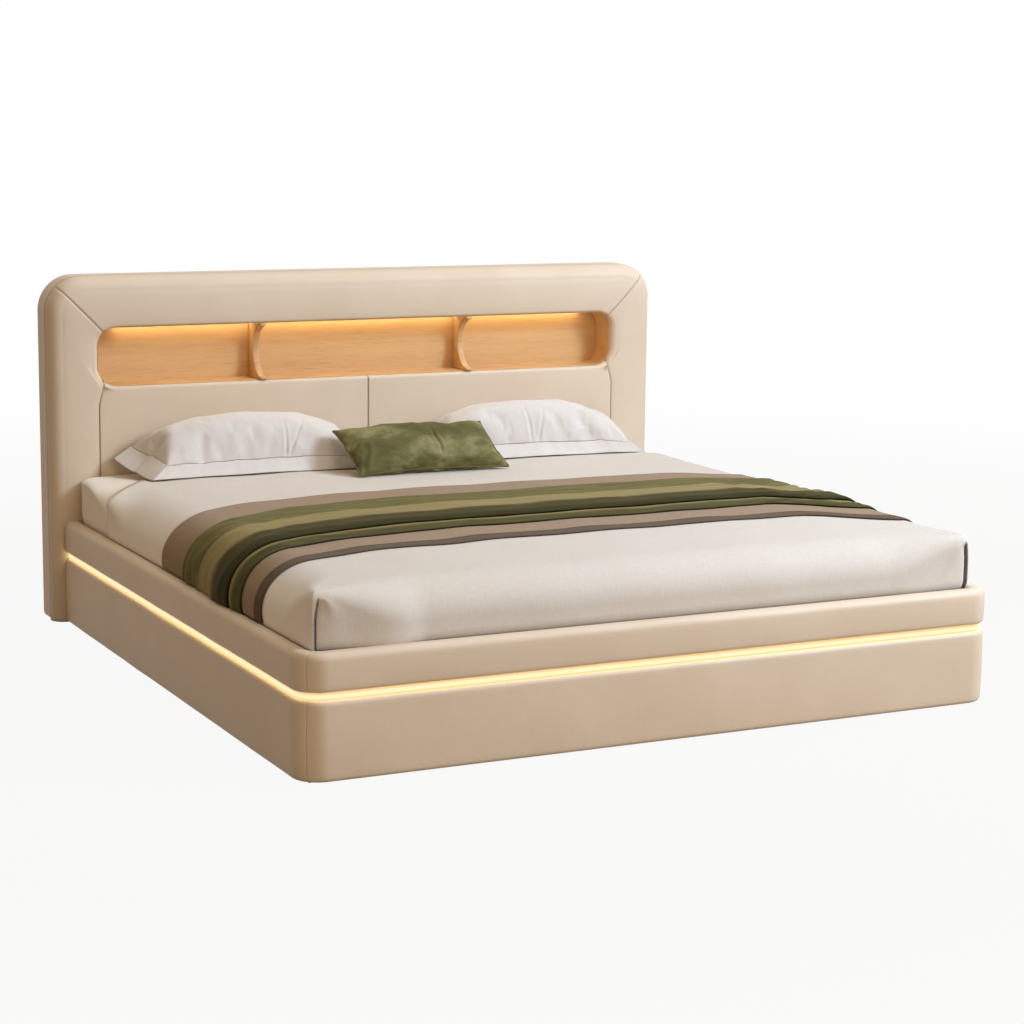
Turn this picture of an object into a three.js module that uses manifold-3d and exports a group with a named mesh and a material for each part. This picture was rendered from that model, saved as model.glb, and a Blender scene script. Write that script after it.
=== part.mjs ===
// Upholstered storage bed: padded base with a light groove, padded headboard with a lit oak
// niche, and a platform that lifts over two storage wells on a four bar linkage at each side.
// Millimetres. +Z is up, the foot end faces -Y, and the headboard stands at +Y.
// The origin is on the floor, under the middle of the whole bed.

import * as THREE from 'three';
import { mergeVertices } from 'three/addons/utils/BufferGeometryUtils.js';
import Module from 'manifold-3d';

const wasm = await Module();
wasm.setup();

// Sizes that drive the whole bed
const baseWidth = 2120;
const baseLength = 2070;
const railTop = 335;
const headboardWidth = 2200;
const headboardHeight = 1120;
const headPadDepth = 50;
const carcassDepth = 85;
const backSheetDepth = 5;

// Clearances shared by many pieces
const seat = 0.3;
const seamGap = 0.4;
const overrun = 20;
const leastRadius = 0.5;

// Counts that set how fine the curves are
const cornerSteps = 5;
const rollSteps = 4;
const boreSides = 16;
const headArcSteps = 8;
const armEndSteps = 8;

// Distance under which two points of a mesh count as one
const weldDistance = 1e-3;

// Planes that follow from the sizes above
const halfBase = baseWidth / 2;
const halfHead = headboardWidth / 2;
const footY = -(baseLength + headPadDepth + carcassDepth + backSheetDepth) / 2;
const headFrontY = footY + baseLength;
const headSeamY = headFrontY + headPadDepth;
const carcassBackY = headSeamY + carcassDepth;
const backY = carcassBackY + backSheetDepth;

// Base panels
const panelPad = 32;
const boardThickness = 20;
const boardTop = 300;
const panelCornerRadius = 75;
const lowerPadLow = 3;
const grooveLow = 212;
const grooveHeight = 20;
const grooveDepth = 10;
const lowerRoll = 12;
const railRoll = 20;
const railInnerRoll = 9;
const boardFaceX = halfBase - panelPad;
const boardInnerX = boardFaceX - boardThickness;
const boardFaceY = footY + panelPad;
const boardInnerY = boardFaceY + boardThickness;
const headBoardY = headFrontY - boardThickness;

// Headboard
const headCornerRadius = 115;
const headFootRadius = 20;
const headRoll = 46;
const headRollSteps = 5;
const carcassEdge = 5;
const carcassEdgeSteps = 2;
const backSheetInset = 14;
const postWidth = 160;
const seamX = halfHead - postWidth;

// Oak niche in the headboard
const nicheFromSide = 165;
const nicheFromTop = 167;
const nicheHeight = 187;
const nicheRadius = 65;
const nicheWall = 10;
const nicheProud = 4;
const nicheDepth = 118;
const nicheBackThickness = 6;
const nicheCornerSteps = 7;
const dividerFromSide = 558;
const dividerThickness = 22;
const dividerDepth = 116;
const dividerWaist = 42;
const dividerToe = 9;
const scoopSteps = 12;
const nicheHalfWidth = halfHead - nicheFromSide;
const nicheHigh = headboardHeight - nicheFromTop;
const nicheLow = nicheHigh - nicheHeight;
const nicheBackY = headFrontY - nicheProud + nicheDepth;
const dividerX = nicheHalfWidth - dividerFromSide;

// The mitre seams start just inside the niche's top corners
const mitreInset = 17;
const mitreDrop = 3;
const mitreX = nicheHalfWidth - mitreInset;
const mitreZ = nicheHigh - mitreDrop;

// Niche light: a channel let into the top of the liner near its back, with its diffuser
const channelFromBack = 12;
const channelWidth = 14;
const channelWall = 1.2;
const channelEndGap = 75;
const diffuserThickness = 2;
const diffuserFlangeGap = 0.3;
const channelY1 = nicheBackY - channelFromBack;
const channelY0 = channelY1 - channelWidth;
const channelHalfLength = nicheHalfWidth - channelEndGap;

// Power inlet in the back of the headboard
const inletFromSide = 320;
const inletZ = 160;
const inletRadius = 14;
const inletBore = 4;
const inletDepth = 16;
const inletLip = 4;
const inletX = halfHead - inletFromSide;

// Storage wells
const partitionThickness = 18;
const floorSheetThickness = 9;
const fingerHoleRadius = 16;
const fingerHoleInset = 90;
const headBoardHeight = 180;
const ledgeWidth = 68;
const ledgeThickness = 25;
const ledgeEnd = 245;
const footLedgeWidth = 63;
const bracketLeg = 45;
const bracketThickness = 2.5;
const bracketHeight = 90;
const bracketLow = 60;
const driverWidth = 170;
const driverDepth = 48;
const driverHeight = 30;
const driverFromSide = 318;
const driverRadius = 6;
const driverEarLength = 14;
const driverEarHeight = 4;
const driverHoleRadius = 2.5;
const footLedgeY = boardInnerY + footLedgeWidth;
const driverX = boardInnerX - driverFromSide;

// Platform
const frameLow = 199;
const frameTube = 30;
const frameSideGap = 53;
const frameFootGap = 23;
const frameHeadGap = 35;
const deckThickness = 18;
const deckSideGap = 40;
const deckFootGap = 17;
const deckHeadGap = 25;
const deckRadius = 25;
const ventRadius = 22;
const ventPitch = 240;
const ventSides = 8;
const stopWidth = 180;
const stopRise = 72;
const stopRodRadius = 4;
const stopBend = 18;
const stopSteps = 5;
const frameHalfWidth = boardInnerX - frameSideGap;
const deckHalfWidth = boardInnerX - deckSideGap;

// Lift linkage
const liftArmLength = 285;
const liftArmRestAngle = 19.5;
const liftAngle = 75;
const tiltShare = 0.45;
const guideArmLength = 320;
const topPivotFromHead = 290;
const topPivotRise = 13;
const guidePinSpacing = 61;
const guidePinDrop = 10;
const armHalfWidth = 13;
const armThickness = 6;
const armWaistShare = 0.72;
const nearWaistShare = 0.22;
const farWaistShare = 0.78;
const lugRootShare = 0.6;
const pinRadius = 6;
const pinRunning = 0.35;
const pinHeadRadius = 9.5;
const pinHeadThickness = 3;
const plateThickness = 3;
const plateEdge = 22;
const armClearance = 1.2;
const planeGap = 2;
const topPlateThickness = 5;
const topPlateEdge = 12;
const topFlangeThickness = 5;
const topFlangeLength = 52;
const strutFromPlate = 12.5;
const strutBaseFromPivot = 58.5;
const strutBaseDrop = 72;
const strutAlong = 253.6;
const strutDrop = 24.9;
const strutRadius = 9;
const strutBody = 158;
const strutWall = 3;
const rodRadius = 4;
const strutEyeRadius = 9;
const strutEyeWidth = 10;
const strutNeck = 11;

// Mattress and bedding
const mattressSideGap = 8;
const mattressFootGap = 12;
const mattressHeadGap = 16;
const mattressHeight = 223;
const mattressPlanRadius = 70;
const mattressRoll = 40;
const shoulderAcross = 120;
const shoulderDrop = 65;
const mattressCrown = 8;
const crownShares = [0.82, 0.5, 0.18];
const beddingGap = 0.4;
const duvetThickness = 4.2;
const duvetHem = 306;
const duvetHeadFromFoot = 1985;
const duvetHeadDraw = 200;
const drawInnerX = 790;
const drawOuterX = 960;
const bandHem = 337;
const runnerThickness = 4;
const throwThickness = 4.5;
const foldThickness = 4;
const bandBow = 210;
const bandSteps = 8;
const runnerHead = 1390;
const runnerFoot = 490;
const throwHead = 1272;
const throwFoot = 702;
const foldHead = 955;
const foldMiddle = 835;
const mattressHalfWidth = boardInnerX - mattressSideGap;

// Pillows and cushion
const pillowSideGap = 105;
const pillowMiddleGap = 95;
const pillowHeight = 350;
const pillowThickness = 165;
const pillowFlange = 42;
const pillowHem = 5;
const pillowDrawInShare = 0.05;
const pillowLeanAngle = 36;
const pillowFromHead = 171;
const pillowRise = 88;
const cushionWidth = 530;
const cushionHeight = 300;
const cushionThickness = 120;
const cushionPiping = 5;
const cushionDrawInShare = 0.045;
const cushionLeanAngle = 27;
const cushionX = 28;
const cushionFromHead = 362;
const cushionRise = 76;
const softGap = 0.6;
const softColumns = 16;
const softRows = 11;
const swellRound = 0.38;
const pillowWidth = mattressHalfWidth - pillowSideGap - pillowMiddleGap;
const pillowCentreX = pillowMiddleGap + pillowWidth / 2;

const degree = Math.PI / 180;

// Materials, in the colours that the bed shows
const colours = {
  leather: [0xcdb899, 0.55, 0],
  board: [0xb79f7c, 0.8, 0],
  backing: [0x3c3934, 0.9, 0],
  oak: [0xd9a066, 0.5, 0],
  light: [0xffe9b8, 0.4, 0],
  aluminium: [0xb8babd, 0.35, 0.9],
  plastic: [0x1c1c1e, 0.5, 0],
  steel: [0x232426, 0.45, 0.6],
  chrome: [0xd5d7da, 0.15, 1],
  sheet: [0xd9c7ae, 0.9, 0],
  duvet: [0xded5cc, 0.9, 0],
  pillow: [0xe2dad0, 0.85, 0],
  taupe: [0xa39080, 0.9, 0],
  olive: [0x5d633d, 0.85, 0],
};

const bed = new THREE.Group();

function addPiece(name, geometry, colourName) {
  const [color, roughness, metalness] = colours[colourName];
  const material = new THREE.MeshStandardMaterial({ color, roughness, metalness });
  const mesh = new THREE.Mesh(geometry, material);
  mesh.name = name;
  bed.add(mesh);
}

// A closed three.js geometry as a solid that can be cut and joined
function toSolid(geometry) {
  const plain = geometry.clone();
  plain.deleteAttribute('normal');
  plain.deleteAttribute('uv');
  const merged = mergeVertices(plain, weldDistance);
  const vertProperties = new Float32Array(merged.attributes.position.array);
  const triVerts = new Uint32Array(merged.index.array);
  return new wasm.Manifold(new wasm.Mesh({ numProp: 3, vertProperties, triVerts }));
}

function toGeometry(solid) {
  const mesh = solid.getMesh();
  const geometry = new THREE.BufferGeometry();
  geometry.setAttribute('position', new THREE.BufferAttribute(mesh.vertProperties, 3));
  geometry.setIndex(new THREE.BufferAttribute(mesh.triVerts, 1));
  geometry.computeVertexNormals();
  return geometry;
}

function cut(geometry, cutters) {
  let solid = toSolid(geometry);
  for (const cutter of cutters) {
    solid = solid.subtract(toSolid(cutter));
  }
  return toGeometry(solid);
}

function join(geometries) {
  let solid = toSolid(geometries[0]);
  for (const other of geometries.slice(1)) {
    solid = solid.add(toSolid(other));
  }
  return toGeometry(solid);
}

function keepInside(geometry, region) {
  return toGeometry(toSolid(geometry).intersect(toSolid(region)));
}

// Building blocks

function block(x0, x1, y0, y1, z0, z1) {
  const box = new THREE.BoxGeometry(x1 - x0, y1 - y0, z1 - z0);
  return box.translate((x0 + x1) / 2, (y0 + y1) / 2, (z0 + z1) / 2);
}

// A rounded rectangle as a list of points, anticlockwise
function roundedOutline(x0, x1, y0, y1, radius, steps = cornerSteps) {
  const r = Math.max(radius, leastRadius);
  const corners = [[x1 - r, y0 + r], [x1 - r, y1 - r], [x0 + r, y1 - r], [x0 + r, y0 + r]];
  const points = [];
  corners.forEach(([x, y], corner) => {
    for (let i = 0; i <= steps; i += 1) {
      const angle = (Math.PI / 2) * (corner - 1 + i / steps);
      points.push(new THREE.Vector2(x + r * Math.cos(angle), y + r * Math.sin(angle)));
    }
  });
  return points;
}

function circleOutline(x, y, radius, sides = boreSides) {
  const points = [];
  for (let i = 0; i < sides; i += 1) {
    const angle = (2 * Math.PI * i) / sides;
    points.push(new THREE.Vector2(x + radius * Math.cos(angle), y + radius * Math.sin(angle)));
  }
  return points;
}

function corners(list) {
  return list.map(([x, y]) => new THREE.Vector2(x, y));
}

function extrude(outline, depth, holes, options) {
  const shape = new THREE.Shape(outline);
  shape.holes = holes.map((hole) => new THREE.Path(hole));
  return new THREE.ExtrudeGeometry(shape, { depth, bevelEnabled: false, steps: 1, ...options });
}

// An outline in X and Y, carried up from z0 to z1
function extrudeUp(outline, z0, z1, holes = []) {
  return extrude(outline, z1 - z0, holes).translate(0, 0, z0);
}

// An outline in Y and Z, carried along X from x0 to x1
function extrudeAcross(outline, x0, x1, holes = []) {
  const turn = new THREE.Matrix4().makeBasis(
    new THREE.Vector3(0, 1, 0), new THREE.Vector3(0, 0, 1), new THREE.Vector3(1, 0, 0));
  return extrude(outline, x1 - x0, holes).applyMatrix4(turn).translate(x0, 0, 0);
}

// An outline in X and Z, carried along Y from y0 to y1
function extrudeBack(outline, y0, y1, holes = [], options = {}) {
  const turn = new THREE.Matrix4().makeBasis(
    new THREE.Vector3(1, 0, 0), new THREE.Vector3(0, 0, 1), new THREE.Vector3(0, -1, 0));
  return extrude(outline, y1 - y0, holes, options).applyMatrix4(turn).translate(0, y1, 0);
}

// A closed solid through rings of points, lowest ring first, each anticlockwise from above
function loft(rings) {
  const count = rings[0].length;
  const positions = [];
  for (const ring of rings) {
    for (const point of ring) {
      positions.push(point.x, point.y, point.z);
    }
  }
  const middles = [rings[0], rings[rings.length - 1]].map((ring) => {
    const middle = new THREE.Vector3();
    ring.forEach((point) => middle.addScaledVector(point, 1 / ring.length));
    return middle;
  });
  middles.forEach((middle) => positions.push(middle.x, middle.y, middle.z));
  const lowMiddle = rings.length * count;
  const highMiddle = lowMiddle + 1;
  const last = (rings.length - 1) * count;
  const index = [];
  for (let j = 0; j < count; j += 1) {
    const next = (j + 1) % count;
    for (let i = 0; i + 1 < rings.length; i += 1) {
      const low = i * count;
      const high = low + count;
      index.push(low + j, low + next, high + next, low + j, high + next, high + j);
    }
    index.push(lowMiddle, next, j);
    index.push(highMiddle, last + j, last + next);
  }
  const geometry = new THREE.BufferGeometry();
  geometry.setAttribute('position', new THREE.Float32BufferAttribute(positions, 3));
  geometry.setIndex(index);
  return geometry;
}

function mirrored(geometry) {
  const flipped = geometry.index ? geometry.toNonIndexed() : geometry.clone();
  const position = flipped.attributes.position;
  for (let i = 0; i < position.count; i += 3) {
    const a = new THREE.Vector3().fromBufferAttribute(position, i);
    const b = new THREE.Vector3().fromBufferAttribute(position, i + 1);
    const c = new THREE.Vector3().fromBufferAttribute(position, i + 2);
    position.setXYZ(i, -a.x, a.y, a.z);
    position.setXYZ(i + 1, -c.x, c.y, c.z);
    position.setXYZ(i + 2, -b.x, b.y, b.z);
  }
  flipped.computeVertexNormals();
  return flipped;
}

// A piece for each side of the bed, made at +X and mirrored to -X
function addPair(name, geometry, colourName) {
  addPiece(`${name}_right`, geometry, colourName);
  addPiece(`${name}_left`, mirrored(geometry), colourName);
}

// Base panels

// A slab in plan with its foot corners rounded and its low and high edges rolled over.
// It runs past the headboard's front, and is cut there by what uses it.
function rolledSlab(z0, z1, lowRollRadius, highRollRadius, inset) {
  const profile = [];
  for (let i = 0; i <= rollSteps; i += 1) {
    const angle = (Math.PI / 2) * (i / rollSteps);
    profile.push([lowRollRadius * (1 - Math.sin(angle)), z0 + lowRollRadius * (1 - Math.cos(angle))]);
  }
  for (let i = 0; i <= rollSteps; i += 1) {
    const angle = (Math.PI / 2) * (i / rollSteps);
    profile.push([highRollRadius * (1 - Math.cos(angle)), z1 - highRollRadius * (1 - Math.sin(angle))]);
  }
  const rings = profile.map(([rolledIn, z]) => {
    const d = inset + rolledIn;
    const outline = roundedOutline(
      -halfBase + d, halfBase - d, footY + d, headFrontY + baseLength,
      panelCornerRadius - d, rollSteps * 2);
    return outline.map((point) => new THREE.Vector3(point.x, point.y, z));
  });
  return loft(rings);
}

const behindHeadFront = () => block(
  -baseWidth, baseWidth, headFrontY - seat, headFrontY + 2 * baseLength, -overrun, headboardHeight);

// The foot panels take both corners, and the side panels start behind them
const footRegion = () => block(
  -baseWidth, baseWidth, footY - overrun, boardFaceY - seat / 2, -overrun, headboardHeight);
const sideRegion = (x0) => block(
  x0, baseWidth, boardFaceY + seat / 2, headFrontY, -overrun, headboardHeight);

// All that lies within the faces of the boards, up to a height
const withinBoards = (z1) => block(
  -boardFaceX - seat, boardFaceX + seat, boardFaceY - seat, headFrontY + baseLength, -overrun, z1);

function lowerPadRing() {
  const slab = rolledSlab(lowerPadLow, grooveLow - seat, lowerRoll, lowerRoll, 0);
  return cut(slab, [behindHeadFront(), withinBoards(railTop)]);
}

// The rail pad wraps over the top of the boards and rolls down inside them
function railPadRing() {
  const slab = rolledSlab(grooveLow + grooveHeight, railTop, lowerRoll, railRoll, 0);
  const rings = [];
  const wellRing = (d, z) => {
    const outline = roundedOutline(
      -boardInnerX - d, boardInnerX + d, boardInnerY - d, headFrontY + baseLength,
      leastRadius + d, rollSteps);
    rings.push(outline.map((point) => new THREE.Vector3(point.x, point.y, z)));
  };
  wellRing(0, -overrun);
  for (let i = 0; i <= rollSteps; i += 1) {
    const angle = (Math.PI / 2) * (i / rollSteps);
    wellRing(railInnerRoll * (1 - Math.cos(angle)), railTop - railInnerRoll * (1 - Math.sin(angle)));
  }
  wellRing(railInnerRoll, railTop + overrun);
  return cut(slab, [behindHeadFront(), withinBoards(boardTop + seat), loft(rings)]);
}

function addPanels() {
  const lower = lowerPadRing();
  addPiece('lower_pad_foot', keepInside(lower, footRegion()), 'leather');
  addPair('lower_pad', keepInside(lower, sideRegion(seat)), 'leather');
  const rail = railPadRing();
  const overFootBoard = block(
    -boardInnerX + seat, boardInnerX - seat, footY, boardInnerY + overrun, -overrun, headboardHeight);
  addPiece('rail_pad_foot', keepInside(rail, join([footRegion(), overFootBoard])), 'leather');
  addPair('rail_pad', keepInside(rail, sideRegion(boardInnerX)), 'leather');
}

// The light strip lies in the groove between the two pads and turns both foot corners
function addLightStrip() {
  const slab = rolledSlab(
    grooveLow + seat, grooveLow + grooveHeight - seat, leastRadius, leastRadius, grooveDepth);
  addPiece('led_strip', cut(slab, [behindHeadFront(), withinBoards(railTop)]), 'light');
}

function addBoards() {
  addPair('side_board', block(
    boardInnerX, boardFaceX, boardInnerY + seat, headFrontY - seat, 0, boardTop), 'board');
  addPiece('foot_board', block(
    -boardFaceX, boardFaceX, boardFaceY, boardInnerY, 0, boardTop), 'board');
  addPiece('head_board', block(
    -boardInnerX + seat, boardInnerX - seat, headBoardY, headFrontY - seat, 0, headBoardHeight), 'board');
}

// Storage wells

function addPartition() {
  const half = partitionThickness / 2;
  addPiece('centre_partition', block(
    -half, half, footLedgeY + seat, headBoardY - seat, 0, frameLow - seat), 'board');
}

function addStorageFloors() {
  const x0 = partitionThickness / 2 + seat;
  const x1 = boardInnerX - seat;
  const sheet = roundedOutline(x0, x1, boardInnerY + seat, headBoardY - seat, leastRadius, 1);
  const hole = circleOutline(x0 + fingerHoleInset, boardInnerY + fingerHoleInset, fingerHoleRadius);
  addPair('storage_floor', extrudeUp(sheet, 0, floorSheetThickness, [hole]), 'board');
}

function addLedges() {
  const high = frameLow - seat;
  const low = high - ledgeThickness;
  const x1 = boardInnerX - seat;
  addPair('side_ledge', block(x1 - ledgeWidth, x1, boardInnerY + seat, ledgeEnd, low, high), 'board');
  const footX = x1 - ledgeWidth - seat;
  addPiece('foot_ledge', block(-footX, footX, boardInnerY + seat, footLedgeY, low, high), 'board');
}

// Pressed steel angles tie the side boards to the foot board and to the headboard
function cornerBracket(x1, y0, towardHead) {
  const reach = towardHead ? bracketLeg : -bracketLeg;
  const thick = towardHead ? bracketThickness : -bracketThickness;
  const outline = corners([
    [x1, y0], [x1, y0 + reach], [x1 - bracketThickness, y0 + reach],
    [x1 - bracketThickness, y0 + thick], [x1 - bracketLeg, y0 + thick], [x1 - bracketLeg, y0]]);
  return extrudeUp(outline, bracketLow, bracketLow + bracketHeight);
}

function addCornerBrackets() {
  const x1 = boardInnerX - seat;
  addPair('foot_bracket', cornerBracket(x1, boardInnerY + seat, true), 'steel');
  addPair('head_bracket', cornerBracket(x1, headBoardY - seat, false), 'steel');
}

// The light driver lies on the storage floor, against the head board
function addDriver() {
  const y1 = headBoardY - seat;
  const y0 = y1 - driverDepth;
  const z0 = floorSheetThickness + seat;
  const x0 = driverX - driverWidth / 2;
  const x1 = driverX + driverWidth / 2;
  const ears = extrudeUp(
    roundedOutline(x0 - driverEarLength, x1 + driverEarLength, y0, y1, driverRadius),
    z0, z0 + driverEarHeight,
    [x0 - driverEarLength / 2, x1 + driverEarLength / 2].map(
      (x) => circleOutline(x, (y0 + y1) / 2, driverHoleRadius)));
  const body = extrudeUp(roundedOutline(x0, x1, y0, y1, driverRadius), z0, z0 + driverHeight);
  addPiece('led_driver', join([ears, body]), 'plastic');
}

// Headboard

function headboardOutline(inset) {
  const points = [];
  const x = halfHead - inset;
  const z = headboardHeight - inset;
  const top = headCornerRadius - inset;
  const low = Math.max(headFootRadius - inset, leastRadius);
  const arcs = [[x - low, inset + low, low, -1], [x - top, z - top, top, 0],
    [-x + top, z - top, top, 1], [-x + low, inset + low, low, 2]];
  for (const [cx, cz, radius, quarter] of arcs) {
    for (let i = 0; i <= headArcSteps; i += 1) {
      const angle = (Math.PI / 2) * (quarter + i / headArcSteps);
      points.push(new THREE.Vector2(cx + radius * Math.cos(angle), cz + radius * Math.sin(angle)));
    }
  }
  return points;
}

function nicheOutline(grow) {
  return roundedOutline(
    -nicheHalfWidth - grow, nicheHalfWidth + grow, nicheLow - grow, nicheHigh + grow,
    nicheRadius + grow, nicheCornerSteps);
}

// One padded front with its edge rolled back, cut by the sewn seams into five covers
function paddedFront() {
  const roll = {
    bevelEnabled: true, bevelThickness: headRoll, bevelSize: headRoll, bevelOffset: 0,
    bevelSegments: headRollSteps,
  };
  const blank = extrudeBack(
    headboardOutline(headRoll), headFrontY + headRoll, carcassBackY, [], roll);
  const opening = extrudeBack(
    nicheOutline(nicheWall + seat), headFrontY - overrun, headSeamY + overrun);
  const behind = block(
    -headboardWidth, headboardWidth, headSeamY - seat, backY + headRoll + overrun,
    -overrun, headboardHeight + overrun);
  const below = block(
    -headboardWidth, headboardWidth, headFrontY - overrun, backY, -headboardHeight, lowerPadLow);
  const bladeHalf = seamGap / 2;
  const seam = (x) => block(
    x - bladeHalf, x + bladeHalf, headFrontY - overrun, headSeamY + overrun,
    -overrun, nicheHigh - nicheRadius);
  const mitreReach = headboardHeight;
  const mitre = (side) => extrudeBack(corners([
    [side * (mitreX - bladeHalf), mitreZ + bladeHalf],
    [side * (mitreX + bladeHalf), mitreZ - bladeHalf],
    [side * (mitreX + bladeHalf + mitreReach), mitreZ - bladeHalf + mitreReach],
    [side * (mitreX - bladeHalf + mitreReach), mitreZ + bladeHalf + mitreReach],
  ]), headFrontY - overrun, headSeamY + overrun);
  return cut(blank, [opening, behind, below, seam(0), seam(seamX), seam(-seamX), mitre(1), mitre(-1)]);
}

function addHeadPads() {
  const front = paddedFront();
  const middleZ = (nicheLow + nicheHigh) / 2;
  const far = headboardWidth;
  const region = (points) => extrudeBack(corners(points), headFrontY - overrun, headSeamY + overrun);
  const reach = far - mitreX;
  addPiece('pad_top', keepInside(front, region([
    [-far, mitreZ + reach], [-mitreX, mitreZ],
    [mitreX, mitreZ], [far, mitreZ + reach]])), 'leather');
  addPair('pad_post', keepInside(front, region([
    [seamX, -overrun], [far, -overrun], [far, mitreZ + reach],
    [mitreX, mitreZ], [mitreX, middleZ], [seamX, middleZ]])), 'leather');
  addPair('pad_lower', keepInside(front, region([
    [0, -overrun], [seamX, -overrun], [seamX, middleZ], [0, middleZ]])), 'leather');
}

function addCarcass() {
  const edge = {
    bevelEnabled: true, bevelThickness: carcassEdge, bevelSize: carcassEdge,
    bevelSegments: carcassEdgeSteps,
  };
  const blank = extrudeBack(
    headboardOutline(carcassEdge), headSeamY + carcassEdge, carcassBackY - carcassEdge, [], edge);
  const pocket = extrudeBack(
    nicheOutline(nicheWall + seat), headSeamY - overrun, nicheBackY + nicheBackThickness + 2 * seat);
  const inletSeat = inletCylinder(inletRadius + seat, inletDepth + seat, backY + overrun);
  addPiece('headboard_carcass', cut(blank, [pocket, inletSeat]), 'leather');
  const sheet = extrudeBack(headboardOutline(backSheetInset), carcassBackY + seat, backY);
  addPiece('headboard_back', cut(sheet, [inletSeat]), 'backing');
}

// A cylinder at the low voltage inlet, from a depth behind the headboard's back face to y1
function inletCylinder(radius, depth, y1) {
  return extrudeBack(circleOutline(inletX, inletZ, radius), backY - depth, y1);
}

function addInlet() {
  const body = inletCylinder(inletRadius, inletDepth, backY);
  const mouth = inletCylinder(inletRadius - inletLip, inletLip, backY + overrun);
  const bore = inletCylinder(inletBore, inletDepth - inletLip, backY + overrun);
  addPiece('power_inlet', cut(body, [mouth, bore]), 'plastic');
}

// Oak niche

function addNiche() {
  const frontY = headFrontY - nicheProud;
  const ring = extrudeBack(nicheOutline(nicheWall), frontY, nicheBackY, [nicheOutline(0)]);
  const slot = block(
    -channelHalfLength - seat, channelHalfLength + seat, channelY0 - seat, channelY1 + seat,
    nicheHigh - overrun, nicheHigh + overrun);
  addPiece('niche_liner', cut(ring, [slot]), 'oak');
  addPiece('niche_back', extrudeBack(
    nicheOutline(nicheWall), nicheBackY + seat, nicheBackY + nicheBackThickness + seat), 'oak');
}

// Each divider keeps its depth at the top and the bottom and is scooped out between them
function addDividers() {
  const backEdge = nicheBackY - seat;
  const frontEdge = backEdge - dividerDepth;
  const low = nicheLow + seat;
  const high = nicheHigh - seat;
  const middle = (low + high) / 2;
  const halfScoop = (high - low) / 2 - dividerToe;
  const points = corners([[backEdge, high], [backEdge, low], [frontEdge, low]]);
  for (let i = 0; i <= scoopSteps; i += 1) {
    const angle = Math.PI * (i / scoopSteps - 1 / 2);
    points.push(new THREE.Vector2(
      frontEdge + (dividerDepth - dividerWaist) * Math.cos(angle), middle + halfScoop * Math.sin(angle)));
  }
  points.push(new THREE.Vector2(frontEdge, high));
  const half = dividerThickness / 2;
  addPair('niche_divider', extrudeAcross(points, dividerX - half, dividerX + half), 'oak');
}

function addNicheLight() {
  const z0 = nicheHigh;
  const z1 = nicheHigh + nicheWall - seat;
  const w = channelWall;
  const section = corners([
    [channelY0, z0], [channelY0 + w, z0], [channelY0 + w, z1 - w], [channelY1 - w, z1 - w],
    [channelY1 - w, z0], [channelY1, z0], [channelY1, z1], [channelY0, z1]]);
  addPiece('niche_led_channel', extrudeAcross(
    section, -channelHalfLength, channelHalfLength), 'aluminium');
  const gap = diffuserFlangeGap;
  addPiece('niche_led_diffuser', block(
    -channelHalfLength, channelHalfLength, channelY0 + w + gap, channelY1 - w - gap,
    z0 + gap, z0 + gap + diffuserThickness), 'light');
}

// Lift linkage, laid out in Y and Z beside the right side board and mirrored to the left

const liftTop = new THREE.Vector2(headFrontY - topPivotFromHead, frameLow + topPivotRise);
const liftBase = liftTop.clone().sub(new THREE.Vector2(liftArmLength, 0).rotateAround(
  new THREE.Vector2(), liftArmRestAngle * degree));
const guideTop = liftTop.clone().sub(new THREE.Vector2(guidePinSpacing, guidePinDrop));

// Where the platform carries one of its points once the lift arm has turned by an angle
function platformPoint(point, angle) {
  const raised = liftTop.clone().rotateAround(liftBase, angle);
  const carried = point.clone().sub(liftTop).rotateAround(new THREE.Vector2(), -tiltShare * angle);
  return raised.add(carried);
}

// The guide arm's base pivot is as far from its top pin at rest as it is when fully raised
function guideBasePoint() {
  const raised = platformPoint(guideTop, liftAngle * degree);
  const chord = raised.clone().sub(guideTop);
  const middle = guideTop.clone().add(raised).multiplyScalar(1 / 2);
  const away = Math.sqrt(guideArmLength ** 2 - (chord.length() / 2) ** 2);
  const across = new THREE.Vector2(-chord.y, chord.x).normalize();
  const side = Math.sign(-across.x);
  return middle.addScaledVector(across, side * away);
}

const guideBase = guideBasePoint();
const strutBase = new THREE.Vector2(liftBase.x + strutBaseFromPivot, liftBase.y - strutBaseDrop);
const strutTop = liftBase.clone().add(
  new THREE.Vector2(strutAlong, -strutDrop).rotateAround(new THREE.Vector2(), liftArmRestAngle * degree));

const sideFaceX = boardInnerX - seat;
const plateX = sideFaceX - plateThickness;
const outerArmEnd = plateX - armClearance;
const outerArmX = outerArmEnd - armThickness;
const innerArmEnd = outerArmX - planeGap;
const innerArmX = innerArmEnd - armThickness;
const topPlateEnd = innerArmX - planeGap;
const topPlateX = topPlateEnd - topPlateThickness;
const strutX = topPlateX - strutFromPlate;

// A pin along X with a head at its inner end
function headedPin(centre, x0, x1) {
  const shaft = extrudeAcross(circleOutline(centre.x, centre.y, pinRadius), x0, x1);
  const head = extrudeAcross(circleOutline(centre.x, centre.y, pinHeadRadius), x0 - pinHeadThickness, x0);
  return join([shaft, head]);
}

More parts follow.
